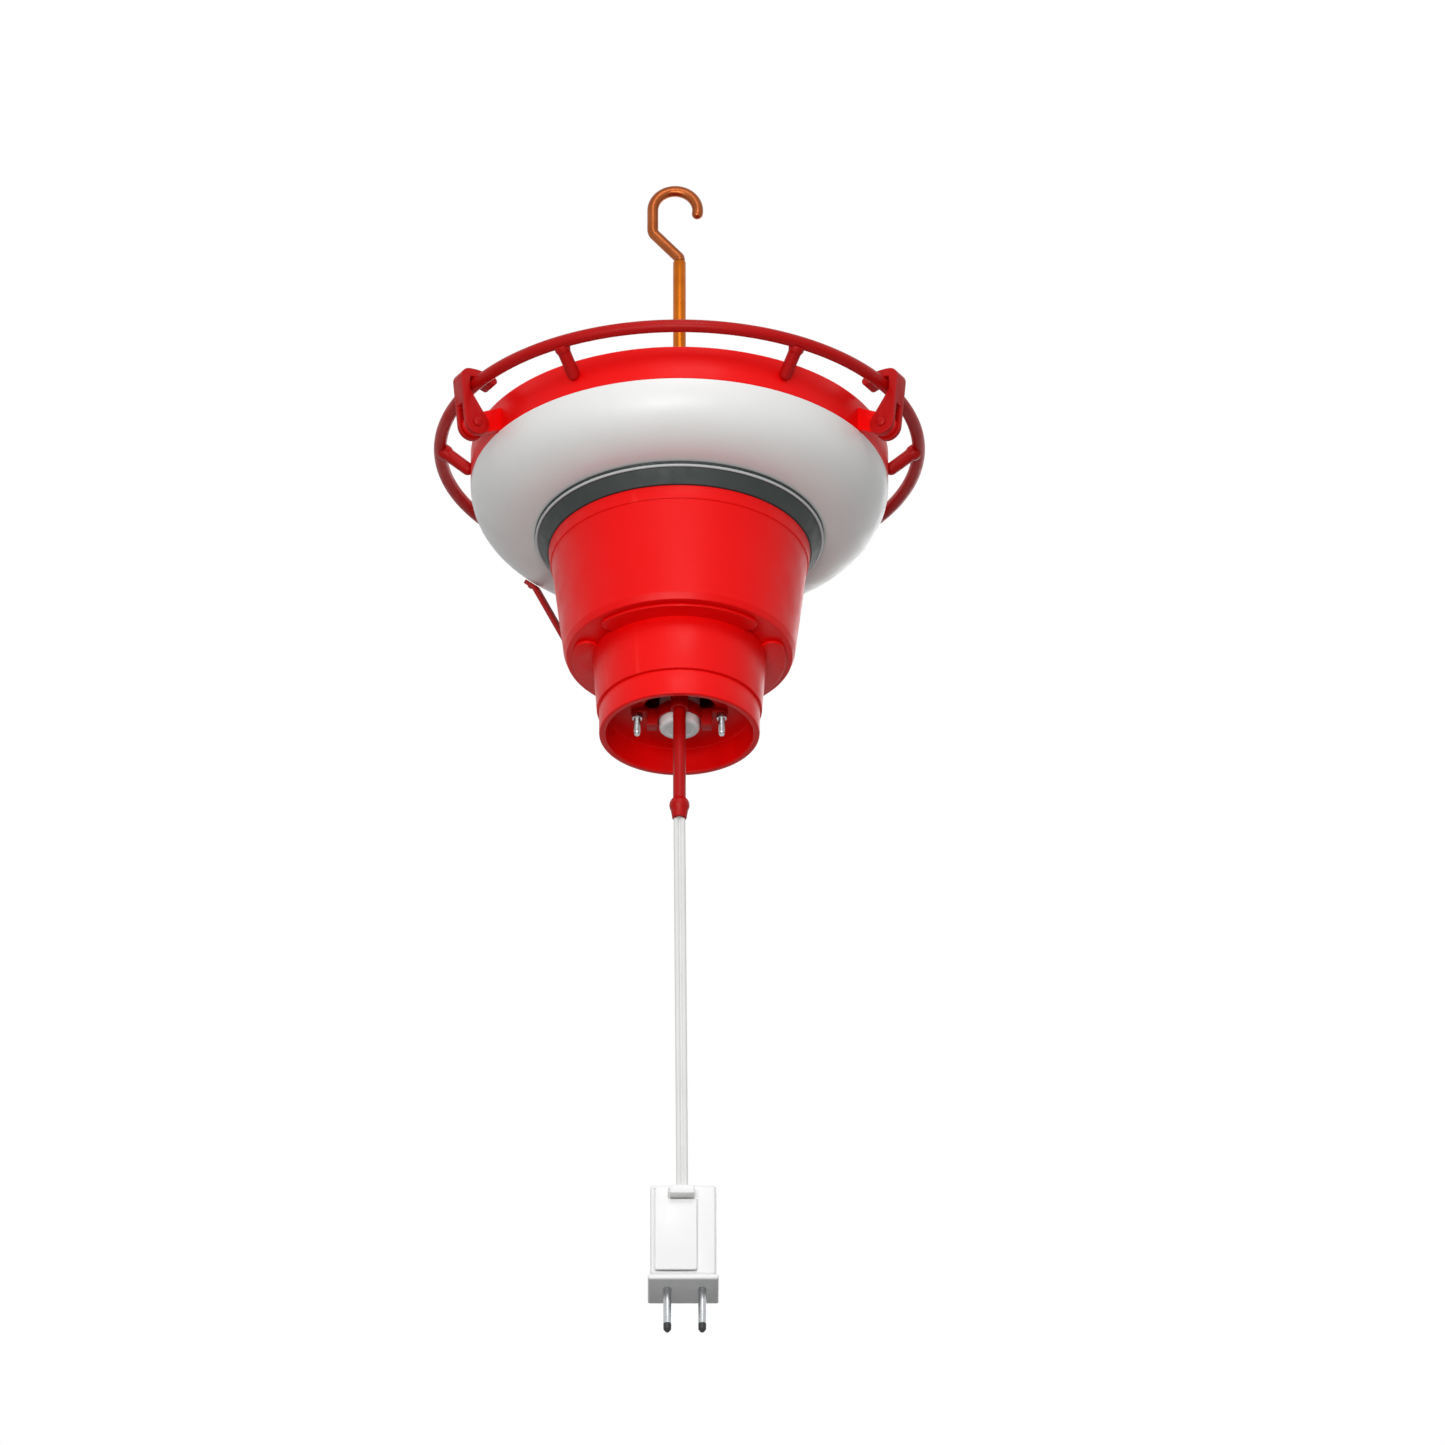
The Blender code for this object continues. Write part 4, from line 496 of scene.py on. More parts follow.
# Swivel: flat washer, nut and bush under the bridge
washer = {"bore": 3.8, "out": 9.0, "top": -179.9, "bottom": -181.4}
turnedPiece("washer", [
    (washer["bore"], washer["top"]), (washer["out"], washer["top"], 0.4),
    (washer["out"], washer["bottom"], 0.4), (washer["bore"], washer["bottom"]),
], zincSteel, "swivel_washer", "hanger", 72)
nut = {"flats": 13.0, "top": -181.7, "bottom": -187.2, "bore": 3.8, "edge": 0.5, "past": 2}
edit = slab(hexagon(nut["flats"]), nut["bottom"], nut["top"], nut["edge"])
drill = slab(circle(nut["bore"], 40), nut["bottom"] - nut["past"], nut["top"] + nut["past"])
finishPiece("nut", carve(edit, drill), zincSteel, ["swivel_nut"], "hanger")
bush = {"bore": 3.8, "sleeve": 5.4, "flange": 8.0, "top": -164.8, "flangeTop": -178.1, "bottom": -179.6}
turnedPiece("bush", [
    (bush["bore"], bush["top"], 0.3), (bush["sleeve"], bush["top"], 0.3), (bush["sleeve"], bush["flangeTop"]),
    (bush["flange"], bush["flangeTop"], 0.3), (bush["flange"], bush["bottom"], 0.3),
    (bush["bore"], bush["bottom"]),
], naturalNylon, "swivel_bush", "feeder", 72)

# Guard ring and its leaning posts, each with a collar at the ring and a round foot
ring = {"radius": 130.0, "level": -160.0, "tube": 3.5}
edit = lathe(arc((ring["radius"], ring["level"]), ring["tube"], math.pi, -math.pi, 24)[:-1], 216)
finishPiece("ring_hoop", edit, redNylonPaintedShade, ["guard_ring"], "feeder")
post = {"collar": 4.35, "collarTop": -1.6, "collarEnd": -4.6, "taper": 0.1, "taperEnd": -6.4, "foot": 3.5,
        "footOut": 115.1, "footLevel": -172.6, "footArc": (-0.2, -1.5), "angles": (0, 60, 120, 180, 240, 300)}
reach = Vector((ring["radius"] - post["footOut"], ring["level"] - post["footLevel"]))
peg = lathe(soften([
    (0, post["collarTop"]), (post["collar"], post["collarTop"], 0.5), (post["collar"], post["collarEnd"], 0.8),
    (post["foot"] + post["taper"], post["taperEnd"], 1.0), (post["foot"], -reach.length),
    *arc((0, -reach.length), post["foot"], *post["footArc"], 6), (0, -reach.length - post["foot"]),
]), 36)
lean = Matrix.Rotation(math.atan2(reach.x, reach.y), 4, "Y")
for index, angle in enumerate(post["angles"], 1):
    finishPiece(f"post_{index}", peg, redNylonPaintedShade, [f"guard_post_{index}"], "feeder",
                spin(angle, (ring["radius"], 0, ring["level"])) @ lean)
print("hanger and ring")

# Rim band with the latch lugs
band = {"out": 113.5, "bore": 110.5, "top": -163.0, "bottom": -183.0, "seat": 108.0, "seatLevel": -165.5,
        "ledge": 97.5, "ledgeTop": -169.1, "ledgeBottom": -171.6}
pivot = {"out": 129.4, "level": -184.0, "angles": (90, 210, 330)}
edit = lathe(soften([
    (band["bore"], band["top"], 0.6), (band["out"], band["top"], 0.9), (band["out"], band["bottom"], 0.6),
    (band["bore"], band["bottom"]), (band["bore"], band["ledgeBottom"]),
    (band["ledge"], band["ledgeBottom"], 0.4), (band["ledge"], band["ledgeTop"], 0.4),
    (band["seat"], band["ledgeTop"], 0.4),
    (band["seat"], band["seatLevel"], 0.4), (band["bore"], band["seatLevel"], 0.3),
]), 180)
lug = {"half": 2.1, "radius": 6.0, "sunk": 1.5, "high": 16.0, "low": 2.0, "hole": 1.8, "drill": 6, "edge": 0.4}
root = band["out"] - lug["sunk"] - pivot["out"]
start = math.atan2(lug["high"], root) - math.acos(lug["radius"] / math.hypot(root, lug["high"]))
end = math.atan2(lug["low"], root) + math.acos(lug["radius"] / math.hypot(root, lug["low"])) - math.tau
outline = [(root, lug["high"]), *arc((0, 0), lug["radius"], start, end, 28), (root, lug["low"])]
drill = slab(circle(lug["hole"], 24), -lug["drill"], lug["drill"])
ear = carve(slab(outline, -lug["half"], lug["half"]), drill)
roundEdges(ear, lug["edge"])
for angle in pivot["angles"]:
    merge(edit, ear, spin(angle, (pivot["out"], 0, pivot["level"])) @ upright)
finishPiece("band", edit, redPolypropylene, ["rim_band"], "feeder")

# Swing latch: forked eye on the lug, arm outside the ring, hook struck from the pivot with a round crown
latch = {"eye": 7.35, "armIn": 4.6, "armOut": 10.0, "ringAway": 24.0075, "ringClear": 4.0, "hook": 5.0,
         "round": 6.0, "tipReach": 9.0, "half": 5.0, "slot": 2.4, "slotTop": 10.85, "slotReach": 14,
         "bore": 1.8, "drill": 12, "edge": 0.5}
under = latch["ringAway"] + latch["ringClear"]
outer = under + latch["hook"]
tip = math.acos(-latch["tipReach"] / under)
tipCentre = ((under + outer) / 2 * math.cos(tip), (under + outer) / 2 * math.sin(tip))
crownX = latch["armOut"] - latch["round"]
crownCentre = (crownX, math.sqrt((outer - latch["round"]) ** 2 - crownX**2))
crown = math.atan2(crownCentre[1], crownCentre[0])
waist = (latch["armIn"], math.sqrt((latch["ringAway"] - latch["ringClear"]) ** 2 - latch["armIn"] ** 2))
shoulder = (latch["armOut"], crownCentre[1])
eyeStart = math.atan2(shoulder[1], shoulder[0]) - math.acos(latch["eye"] / math.hypot(*shoulder))
eyeEnd = math.atan2(waist[1], waist[0]) + math.acos(latch["eye"] / math.hypot(*waist)) - math.tau
outline = [
    *arc((0, 0), under, math.acos(latch["armIn"] / under), tip, 20),
    *arc(tipCentre, latch["hook"] / 2, tip + math.pi, tip, 14)[1:-1],
    *arc((0, 0), outer, tip, crown, 24),
    *arc(crownCentre, latch["round"], crown, 0, 14)[1:],
    *arc((0, 0), latch["eye"], eyeStart, eyeEnd, 40),
    waist,
]
fork = block((-latch["slotReach"], -latch["slotReach"], -latch["slot"]),
             (latch["slotReach"], latch["slotTop"], latch["slot"]))
drill = slab(circle(latch["bore"], 24), -latch["drill"], latch["drill"])
arm = carve(slab(outline, -latch["half"], latch["half"]), fork, drill)
roundEdges(arm, latch["edge"])
rivet = {"shank": 1.5, "head": 2.7, "seat": 5.3, "rim": 5.6, "dome": 1.6, "domeLevel": 6.35, "top": 6.5}
pinShape = lathe(soften([
    (0, rivet["top"]), (rivet["dome"], rivet["domeLevel"], 1.0), (rivet["head"], rivet["rim"], 0.5),
    (rivet["head"], rivet["seat"]), (rivet["shank"], rivet["seat"]), (rivet["shank"], -rivet["seat"]),
    (rivet["head"], -rivet["seat"]), (rivet["head"], -rivet["rim"], 0.5),
    (rivet["dome"], -rivet["domeLevel"], 1.0), (0, -rivet["top"]),
]), 32)
for index, angle in enumerate(pivot["angles"], 1):
    stand = spin(angle, (pivot["out"], 0, pivot["level"])) @ upright
    finishPiece(f"latch_arm_{index}_shape", arm, redNylonPaintedShade, [f"latch_{index}"], f"latch_arm_{index}",
                stand)
    finishPiece(f"latch_rivet_{index}", pinShape, redNylonPaintedShade, [f"latch_pin_{index}"], "feeder",
                stand)
print("band and latches")

# Lid: thin moulded cone with two stiffening beads and a step at its rim, and a rubber grommet round the rod
lid = {"out": 110.2, "foot": -165.2, "shoulder": -161.0, "crown": -139.0, "flat": 15.0, "hole": 7.5,
       "sheet": 2.2, "beads": (46.0, 92.0), "beadHalf": 2.6, "beadHigh": 1.0, "beadRound": 1.0,
       "beadShape": ((-1.0, 0), (-0.4, 1), (0.4, 1), (1.0, 0))}
slope = (lid["shoulder"] - lid["crown"]) / (lid["out"] - lid["flat"])
beads = []
for middle in lid["beads"]:
    for share, rise in lid["beadShape"]:
        radius = middle + share * lid["beadHalf"]
        level = lid["crown"] + (radius - lid["flat"]) * slope + rise * lid["beadHigh"]
        beads.append((radius, level, lid["beadRound"]))
turnedPiece("lid_cone", [
    (lid["hole"], lid["crown"], 0.5), (lid["flat"], lid["crown"], 4.0), *beads,
    (lid["out"], lid["shoulder"], 1.2), (lid["out"], lid["foot"], 0.5),
    (lid["out"] - lid["sheet"], lid["foot"], 0.5),
    (lid["out"] - lid["sheet"], lid["shoulder"] - lid["sheet"], 1.0),
    (lid["flat"], lid["crown"] - lid["sheet"], 4.0), (lid["hole"], lid["crown"] - lid["sheet"], 0.5),
], redPolypropylene, "lid", "lid", 180)
grommet = {"bore": 4.0, "out": 10.2, "groove": 7.2, "top": -136.9, "grooveTop": -138.7, "grooveFoot": -141.5,
           "bottom": -143.3}
turnedPiece("grommet", [
    (grommet["bore"], grommet["top"], 0.7), (grommet["out"], grommet["top"], 0.8),
    (grommet["out"], grommet["grooveTop"], 0.3), (grommet["groove"], grommet["grooveTop"]),
    (grommet["groove"], grommet["grooveFoot"]), (grommet["out"], grommet["grooveFoot"], 0.3),
    (grommet["out"], grommet["bottom"], 0.8), (grommet["bore"], grommet["bottom"], 0.7),
], blackNeoprene, "lid_grommet", "lid", 72)

# Bowl: quarter-ellipse flare with a spigot up into the band
bowl = {"floorRadius": 79.0, "flare": 34.5, "depth": 31.0, "top": -183.3, "wall": 2.5, "hole": 72.34,
        "spigot": 110.2, "flangeTop": -171.9, "flangeBore": 97.5, "spans": 24}
bore = bowl["spigot"] - bowl["wall"]
floorLevel = bowl["top"] - bowl["depth"]
outside = []
inside = []
last = math.asin((bore - bowl["floorRadius"]) / (bowl["flare"] - bowl["wall"]))
for step in range(bowl["spans"] + 1):
    angle = math.pi / 2 * (1 - step / bowl["spans"])
    outside.append((bowl["floorRadius"] + bowl["flare"] * math.sin(angle),
                    bowl["top"] - bowl["depth"] * math.cos(angle)))
    angle = last * step / bowl["spans"]
    inside.append((bowl["floorRadius"] + (bowl["flare"] - bowl["wall"]) * math.sin(angle),
                   bowl["top"] - (bowl["depth"] - bowl["wall"]) * math.cos(angle)))
turnedPiece("bowl_shell", [
    (bowl["flangeBore"], bowl["flangeTop"], 0.4), (bowl["spigot"], bowl["flangeTop"], 0.4),
    (bowl["spigot"], bowl["top"]), *outside, (bowl["hole"], floorLevel),
    (bowl["hole"], floorLevel + bowl["wall"]), *inside, (bore, bowl["flangeTop"] - bowl["wall"], 0.6),
    (bowl["flangeBore"], bowl["flangeTop"] - bowl["wall"], 0.4),
], whitePolypropylene, "bowl", "feeder", 180)

# Gasket: tapered rubber collar with a thin ring let into it, coloured pale as a painted highlight along its
# groove
gasket = {"top": -214.6, "bottom": -225.3, "out": 79.0, "foot": 72.04, "bore": 72.0, "boreFoot": 70.74,
          "wire": 0.8, "room": 0.3, "share": 0.2}
edge = Vector((gasket["foot"] - gasket["out"], gasket["bottom"] - gasket["top"]))
centre = Vector((gasket["out"], gasket["top"])) + edge * gasket["share"]
along = edge.normalized() * (gasket["wire"] + gasket["room"])
deep = Vector((along.y, -along.x))
turnedPiece("gasket_collar", [
    (gasket["bore"], gasket["top"]), (gasket["out"], gasket["top"], 0.4), tuple(centre - along),
    tuple(centre - along + deep), tuple(centre + along + deep), tuple(centre + along),
    (gasket["foot"], gasket["bottom"], 0.5), (gasket["boreFoot"], gasket["bottom"]),
], blackNeoprene, "gasket", "feeder", 180)
# the ring's pale grey is a painted highlight
edit = lathe(arc(centre, gasket["wire"], math.pi, -math.pi, 14)[:-1], 180)
finishPiece("gasket_hoop", edit, paleAcetalPaintedHighlight, ["gasket_ring"], "feeder")
print("lid, bowl and gasket")

# Hopper body: tapered cup with a proud lip near its top and a chamfered foot
body = {"top": 70.4, "lipTop": -225.6, "lipBottom": -233.1, "proud": 0.8, "edge": 63.0, "edgeLevel": -288.0,
        "foot": 61.5, "bottom": -292.0, "wall": 3.0, "hole": 45.5, "flange": 78.7, "flangeTop": -208.5,
        "flangeBottom": -211.5}


def bodyRadius(height):
    taper = (body["top"] - body["edge"]) / (body["lipTop"] - body["edgeLevel"])
    return body["top"] + (height - body["lipTop"]) * taper


lipTop = bodyRadius(body["lipTop"])
lipBottom = bodyRadius(body["lipBottom"])
floorTop = body["bottom"] + body["wall"]
turnedPiece("body_cup", [
    (bodyRadius(body["flangeTop"]) - body["wall"], body["flangeTop"], 0.5),
    (body["flange"], body["flangeTop"], 0.5), (body["flange"], body["flangeBottom"], 0.3),
    (bodyRadius(body["flangeBottom"]), body["flangeBottom"]),
    (lipTop, body["lipTop"]), (lipTop + body["proud"], body["lipTop"], 0.3),
    (lipBottom + body["proud"], body["lipBottom"], 0.4), (lipBottom, body["lipBottom"], 0.3),
    (body["edge"], body["edgeLevel"], 1.2), (body["foot"], body["bottom"], 0.6),
    (body["hole"], body["bottom"], 0.3), (body["hole"], floorTop, 0.3),
    (bodyRadius(floorTop) - body["wall"], floorTop, 2.0),
], redPolypropylene, "hopper_body", "feeder", 180)

# Side stay: slim bent strap from the bowl to the foot of the body, with a rivet's head at each end
stay = {"angle": 140, "thick": 2.4, "half": 2.5, "pad": 8.0, "reach": 25.0, "bend": 4.0, "gap": 0.3,
        "edge": 0.4, "rivet": 1.7, "rivetHigh": 0.8, "rivetSunk": 0.6, "dome": (0.6, 0.9), "brim": 0.1}
swing = math.asin(stay["reach"] / bowl["flare"])
touch = Vector((bowl["floorRadius"] + stay["reach"], bowl["top"] - bowl["depth"] * math.cos(swing)))
outwards = Vector((stay["reach"] / bowl["flare"] ** 2, -math.cos(swing) / bowl["depth"])).normalized()
along = Vector((outwards.y, -outwards.x))
clear = stay["thick"] / 2 + stay["gap"]
padCentre = touch + outwards * clear
footLevel = body["edgeLevel"] + stay["gap"]
line = soften([
    tuple(padCentre - along * stay["pad"] / 2),
    (*(padCentre + along * stay["pad"] / 2), stay["bend"]),
    (bodyRadius(footLevel + stay["pad"]) + clear, footLevel + stay["pad"], stay["bend"]),
    (bodyRadius(footLevel) + clear, footLevel),
], 8)
line = [Vector(point) for point in line]
left = []
right = []
for index, point in enumerate(line):
    ahead = line[min(index + 1, len(line) - 1)] - line[max(index - 1, 0)]
    across = Vector((-ahead.y, ahead.x)).normalized() * stay["thick"] / 2
    left.append(tuple(point + across))
    right.append(tuple(point - across))
strap = slab(left + right[::-1], -stay["half"], stay["half"], stay["edge"])
head = lathe(soften([
    (0, stay["rivetHigh"]), (stay["rivet"] * stay["dome"][0], stay["rivetHigh"] * stay["dome"][1], 0.6),
    (stay["rivet"], stay["brim"], 0.2), (stay["rivet"], -stay["rivetSunk"]), (0, -stay["rivetSunk"]),
]), 28)
footOut = Vector((body["lipTop"] - body["edgeLevel"], body["edge"] - body["top"])).normalized()
footMiddle = Vector((bodyRadius(footLevel + stay["pad"] / 2) + clear, footLevel + stay["pad"] / 2))
for middle, facing in ((padCentre, outwards), (footMiddle, footOut)):
    seat = middle + facing * stay["thick"] / 2
    lay = Vector((0, 0, 1)).rotation_difference(Vector((*facing, 0))).to_matrix().to_4x4()
    merge(strap, head, Matrix.Translation((*seat, 0)) @ lay)
finishPiece("stay_strap", strap, redNylonPaintedShade, ["side_stay"], "feeder",
            spin(stay["angle"]) @ upright)

# Neck: tapered tube with three bent pads under the step, a lock ring above it and the funnel inside
neck = {"top": 47.3, "topLevel": -292.3, "foot": 45.0, "footLevel": -325.5, "bore": 42.0, "spigot": 45.2,
        "spigotTop": -281.7, "padOut": 58.0, "padIn": 45.8, "padTop": -292.4, "padBottom": -294.1,
        "padSweep": 88, "padEdge": 0.4, "pads": (-90, 30, 150)}
edit = lathe(soften([
    (neck["bore"], neck["spigotTop"], 0.4), (neck["spigot"], neck["spigotTop"], 0.6),
    (neck["spigot"], neck["topLevel"]), (neck["top"], neck["topLevel"], 0.3),
    (neck["foot"], neck["footLevel"], 0.4), (neck["bore"], neck["footLevel"]),
]), 144)
half = math.radians(neck["padSweep"]) / 2
mean = (neck["padOut"] + neck["padIn"]) / 2
wide = (neck["padOut"] - neck["padIn"]) / 2
outline = [
    *arc((0, 0), neck["padOut"], -half, half, 40),
    *arc((mean * math.cos(half), mean * math.sin(half)), wide, half, half + math.pi, 16)[1:-1],
    *arc((0, 0), neck["padIn"], half, -half, 40),
    *arc((mean * math.cos(half), -mean * math.sin(half)), wide, math.pi - half, math.tau - half, 16)[1:-1],
]
pad = slab(outline, neck["padBottom"], neck["padTop"], neck["padEdge"])
for angle in neck["pads"]:
    merge(edit, pad, spin(angle))
finishPiece("neck_tube", edit, redPolypropylene, ["neck"], "feeder")
lock = {"bore": 45.5, "out": 52.0, "top": -283.7, "bottom": -288.7}
turnedPiece("lock_ring", [
    (lock["bore"], lock["top"], 0.4), (lock["out"], lock["top"], 0.8), (lock["out"], lock["bottom"], 0.8),
    (lock["bore"], lock["bottom"], 0.4),
], redPolypropylene, "neck_lock_ring", "feeder")
outlet = 20.0
funnel = {"rim": 41.7, "mouth": 39.9, "top": -295.0, "rimEnd": -297.0, "wall": 1.8, "coneEnd": -319.0,
          "coneEndInside": -317.2, "bottom": -323.0}
turnedPiece("funnel", [
    (funnel["mouth"], funnel["top"], 0.5), (funnel["rim"], funnel["top"], 0.5),
    (funnel["rim"], funnel["rimEnd"], 0.5), (outlet + funnel["wall"], funnel["coneEnd"], 0.8),
    (outlet + funnel["wall"], funnel["bottom"], 0.3), (outlet, funnel["bottom"], 0.3),
    (outlet, funnel["coneEndInside"], 0.8),
], redPolypropylene, "feed_funnel", "feeder")

# Outlet cap: plain skirt under the seam, a plate with the outlet in it and a spigot up into the neck
cap = {"spigotBore": 39.1, "spigot": 41.7, "spigotTop": -318.3, "skirt": 43.7, "skirtBore": 40.1,
       "seam": -325.8, "bottom": -341.0, "plateTop": -323.3}
turnedPiece("cap_skirt", [
    (cap["spigotBore"], cap["spigotTop"], 0.4), (cap["spigot"], cap["spigotTop"], 0.5),
    (cap["spigot"], cap["seam"]), (cap["skirt"], cap["seam"], 0.4), (cap["skirt"], cap["bottom"], 0.8),
    (cap["skirtBore"], cap["bottom"], 0.8), (cap["skirtBore"], cap["seam"], 0.6), (outlet, cap["seam"], 0.5),
    (outlet, cap["plateTop"], 0.5), (cap["spigotBore"], cap["plateTop"], 0.5),
], redPolypropylene, "outlet_cap", "feeder")
print("body, neck and cap")

# Motor pod in the outlet: a can with a shallow ring under it, its cover, a shaft seal and the gear motor
pod = {"out": 11.0, "bore": 9.4, "top": -311.6, "floor": -335.2, "bottom": -338.2, "ring": 7.6, "recess": 7.4,
       "recessTop": -337.8}
turnedPiece("pod_can", [
    (0, pod["floor"]), (pod["bore"], pod["floor"], 0.5), (pod["bore"], pod["top"], 0.3),
    (pod["out"], pod["top"], 0.4), (pod["out"], pod["bottom"], 2.2), (pod["ring"], pod["bottom"], 0.2),
    (pod["recess"], pod["recessTop"], 0.2), (0, pod["recessTop"]),
], whiteAbs, "pod_housing", "feeder", 96)
cover = {"bore": 2.3, "plug": 9.1, "top": -308.8, "rim": -311.3, "bottom": -313.9}
turnedPiece("pod_lid", [
    (cover["bore"], cover["top"], 0.3), (pod["out"], cover["top"], 0.8), (pod["out"], cover["rim"], 0.3),
    (cover["plug"], cover["rim"]), (cover["plug"], cover["bottom"], 0.3), (cover["bore"], cover["bottom"], 0.3),
], whiteAbs, "pod_cover", "feeder", 96)
seal = {"bore": 2.3, "out": 5.1, "top": -306.1, "bottom": -308.5}
turnedPiece("seal", [
    (seal["bore"], seal["top"], 0.3), (seal["out"], seal["top"], 0.6), (seal["out"], seal["bottom"], 0.3),
    (seal["bore"], seal["bottom"], 0.3),
], blackNeoprene, "shaft_seal", "feeder", 64)
motor = {"out": 9.1, "bore": 2.3, "boreEnd": -322.2, "top": -314.2, "bottom": -334.9}
turnedPiece("motor", [
    (0, motor["boreEnd"]), (motor["bore"], motor["boreEnd"]), (motor["bore"], motor["top"]),
    (motor["out"], motor["top"], 0.6), (motor["out"], motor["bottom"], 0.6), (0, motor["bottom"]),
], rolledSteel, "gear_motor", "feeder", 72)

# Bracket: collar round the pod, an arm and a tab on each side, and the conduit's gland in front
bracket = {"bore": 11.3, "out": 12.5, "top": -326.1, "bottom": -332.9, "half": 3.5, "armIn": 11.9,
           "armOut": 17.7, "armFoot": -336.7, "armEdge": 0.5, "stud": 23.0, "hole": 1.7, "tabTop": -326.5,
           "tab": 2.0, "tabHalf": 3.3, "tabIn": 2, "tabEdge": 0.3, "gland": 4.9, "glandFoot": -334.4,
           "low": 0.2, "past": 2, "drill": 4}
conduitOut = 15.0
glandTop = bracket["top"] - bracket["low"]
edit = lathe(soften([
    (bracket["bore"], bracket["top"], 0.3), (bracket["out"], bracket["top"], 0.3),
    (bracket["out"], bracket["bottom"], 0.3), (bracket["bore"], bracket["bottom"], 0.3),
]), 96)
boss = lathe(soften([
    (0, glandTop), (bracket["gland"], glandTop, 0.5), (bracket["gland"], bracket["glandFoot"], 0.8),
    (0, bracket["glandFoot"]),
]), 48)
bmesh.ops.translate(boss, verts=boss.verts, vec=(0, -conduitOut, 0))
podRoom = slab(circle(bracket["bore"], 96), bracket["glandFoot"] - bracket["past"],
               bracket["top"] + bracket["past"])
merge(edit, carve(boss, podRoom))
arm = block((bracket["armIn"], -bracket["half"], bracket["armFoot"]),
            (bracket["armOut"], bracket["half"], glandTop), bracket["armEdge"])
middle = (bracket["stud"], 0)
root = bracket["armOut"] - bracket["tabIn"]
shoe = [(root, -bracket["tabHalf"]), *arc(middle, bracket["tabHalf"], -math.pi / 2, math.pi / 2, 16),
        (root, bracket["tabHalf"])]
tabFoot = bracket["tabTop"] - bracket["tab"]
hole = slab(circle(bracket["hole"], 28, middle), tabFoot - bracket["drill"],
            bracket["tabTop"] + bracket["drill"])
tab = carve(slab(shoe, tabFoot, bracket["tabTop"]), hole)
roundEdges(tab, bracket["tabEdge"])
for angle in (0, 180):
    merge(edit, arm, spin(angle))
    merge(edit, tab, spin(angle))
finishPiece("bracket", edit, redNylonPaintedShade, ["pod_bracket"], "feeder")

# Studs: threaded steel with a nut under each tab
stud = {"shank": 1.4, "radius": 1.9, "top": -323.3, "seat": -328.8, "end": -341.5, "pitch": 0.8, "deep": 0.25,
        "plain": 1.2, "nose": 0.6, "noseIn": 0.3, "tipIn": 0.8, "nut": 5.5, "nutHigh": 2.4, "nutEdge": 0.3,
        "turn": 0.4, "crease": 30}
nutFoot = stud["seat"] - stud["nutHigh"]
edit = lathe(soften([
    (0, stud["top"]), (stud["shank"], stud["top"], 0.3), (stud["shank"], stud["seat"]),
    (stud["radius"], stud["seat"]),
    *ridges(stud["radius"], stud["deep"], stud["pitch"], nutFoot, stud["end"] + stud["plain"]),
    (stud["radius"] - stud["noseIn"], stud["end"] + stud["nose"]),
    (stud["radius"] - stud["tipIn"], stud["end"]), (0, stud["end"]),
]), 32)
merge(edit, slab(hexagon(stud["nut"]), nutFoot, stud["seat"], stud["nutEdge"]))
for index, side in enumerate((-1, 1), 1):
    stand = Matrix.Translation((side * bracket["stud"], 0, 0)) @ Matrix.Rotation(stud["turn"] * side, 4, "Z")
    finishPiece(f"stud_{index}", edit, zincSteel, [f"bracket_screw_{index}"], "feeder", stand,
                stud["crease"])

# Agitator: hub and three bent fingers on the motor's shaft; the fingers run midway between lock ring and wall
stir = {"level": -277.9, "rod": 2.3, "foot": -287.5, "bend": 6.0, "edge": 0.5, "bore": 2.3, "hub": 6.0,
        "top": -273.4, "bottom": -282.4, "root": 4.1, "fingers": (0, 120, 240), "shaft": 2.0,
        "shaftTop": -271.4, "shaftEnd": -321.9}
finger = (lock["out"] + bodyRadius(floorTop) - body["wall"]) / 2
edit = lathe(soften([
    (stir["bore"], stir["top"], 0.4), (stir["hub"], stir["top"], 0.6), (stir["hub"], stir["bottom"], 0.6),
    (stir["bore"], stir["bottom"], 0.4),
]), 72)
line = soften([(stir["root"], stir["level"]), (finger, stir["level"], stir["bend"]),
               (finger, stir["foot"])], 10)
arm = sweep([(x, 0, z) for x, z in line], circle(stir["rod"], 20), Vector((0, 1, 0)))
roundEdges(arm, stir["edge"])
for angle in stir["fingers"]:
    merge(edit, arm, spin(angle))
finishPiece("stirrer", edit, naturalNylon, ["agitator"], "agitator")
turnedPiece("stir_shaft", [
    (0, stir["shaftTop"]), (stir["shaft"], stir["shaftTop"], 0.4), (stir["shaft"], stir["shaftEnd"], 0.3),
    (0, stir["shaftEnd"]),
], zincSteel, "agitator_shaft", "agitator", 40)

# Conduit from the gland, with a ball and a tapered tip where the lead comes out
front = Matrix.Translation((0, -conduitOut, 0))
tube = {"bore": 2.3, "plug": 2.9, "out": 3.5, "top": -331.7, "plugEnd": -334.7, "bottom": -396.45}
turnedPiece("conduit", [
    (tube["bore"], tube["top"]), (tube["plug"], tube["top"]), (tube["plug"], tube["plugEnd"]),
    (tube["out"], tube["plugEnd"], 0.3), (tube["out"], tube["bottom"], 0.2), (tube["bore"], tube["bottom"]),
], redNylonPaintedShade, "conduit_tube", "feeder", 56, front)
ball = {"radius": 5.5, "level": -395.0, "collar": 3.8, "seat": -396.75, "tip": 3.9, "tipLevel": -403.3,
        "root": 4.7}
turnedPiece("relief", [
    (tube["bore"], ball["seat"]), (ball["collar"], ball["seat"]),
    *arc((0, ball["level"]), ball["radius"], math.acos(ball["collar"] / ball["radius"]),
         -math.acos(ball["root"] / ball["radius"]), 20),
    (ball["tip"], ball["tipLevel"], 0.5), (tube["bore"], ball["tipLevel"]),
], redNylonPaintedShade, "strain_relief", "feeder", 64, front)
inner = {"radius": 2.0, "port": -9.4, "portLevel": -329.1, "bend": 3.0}
line = soften([(inner["port"], inner["portLevel"]), (-conduitOut, inner["portLevel"], inner["bend"]),
               (-conduitOut, ball["tipLevel"])], 10)
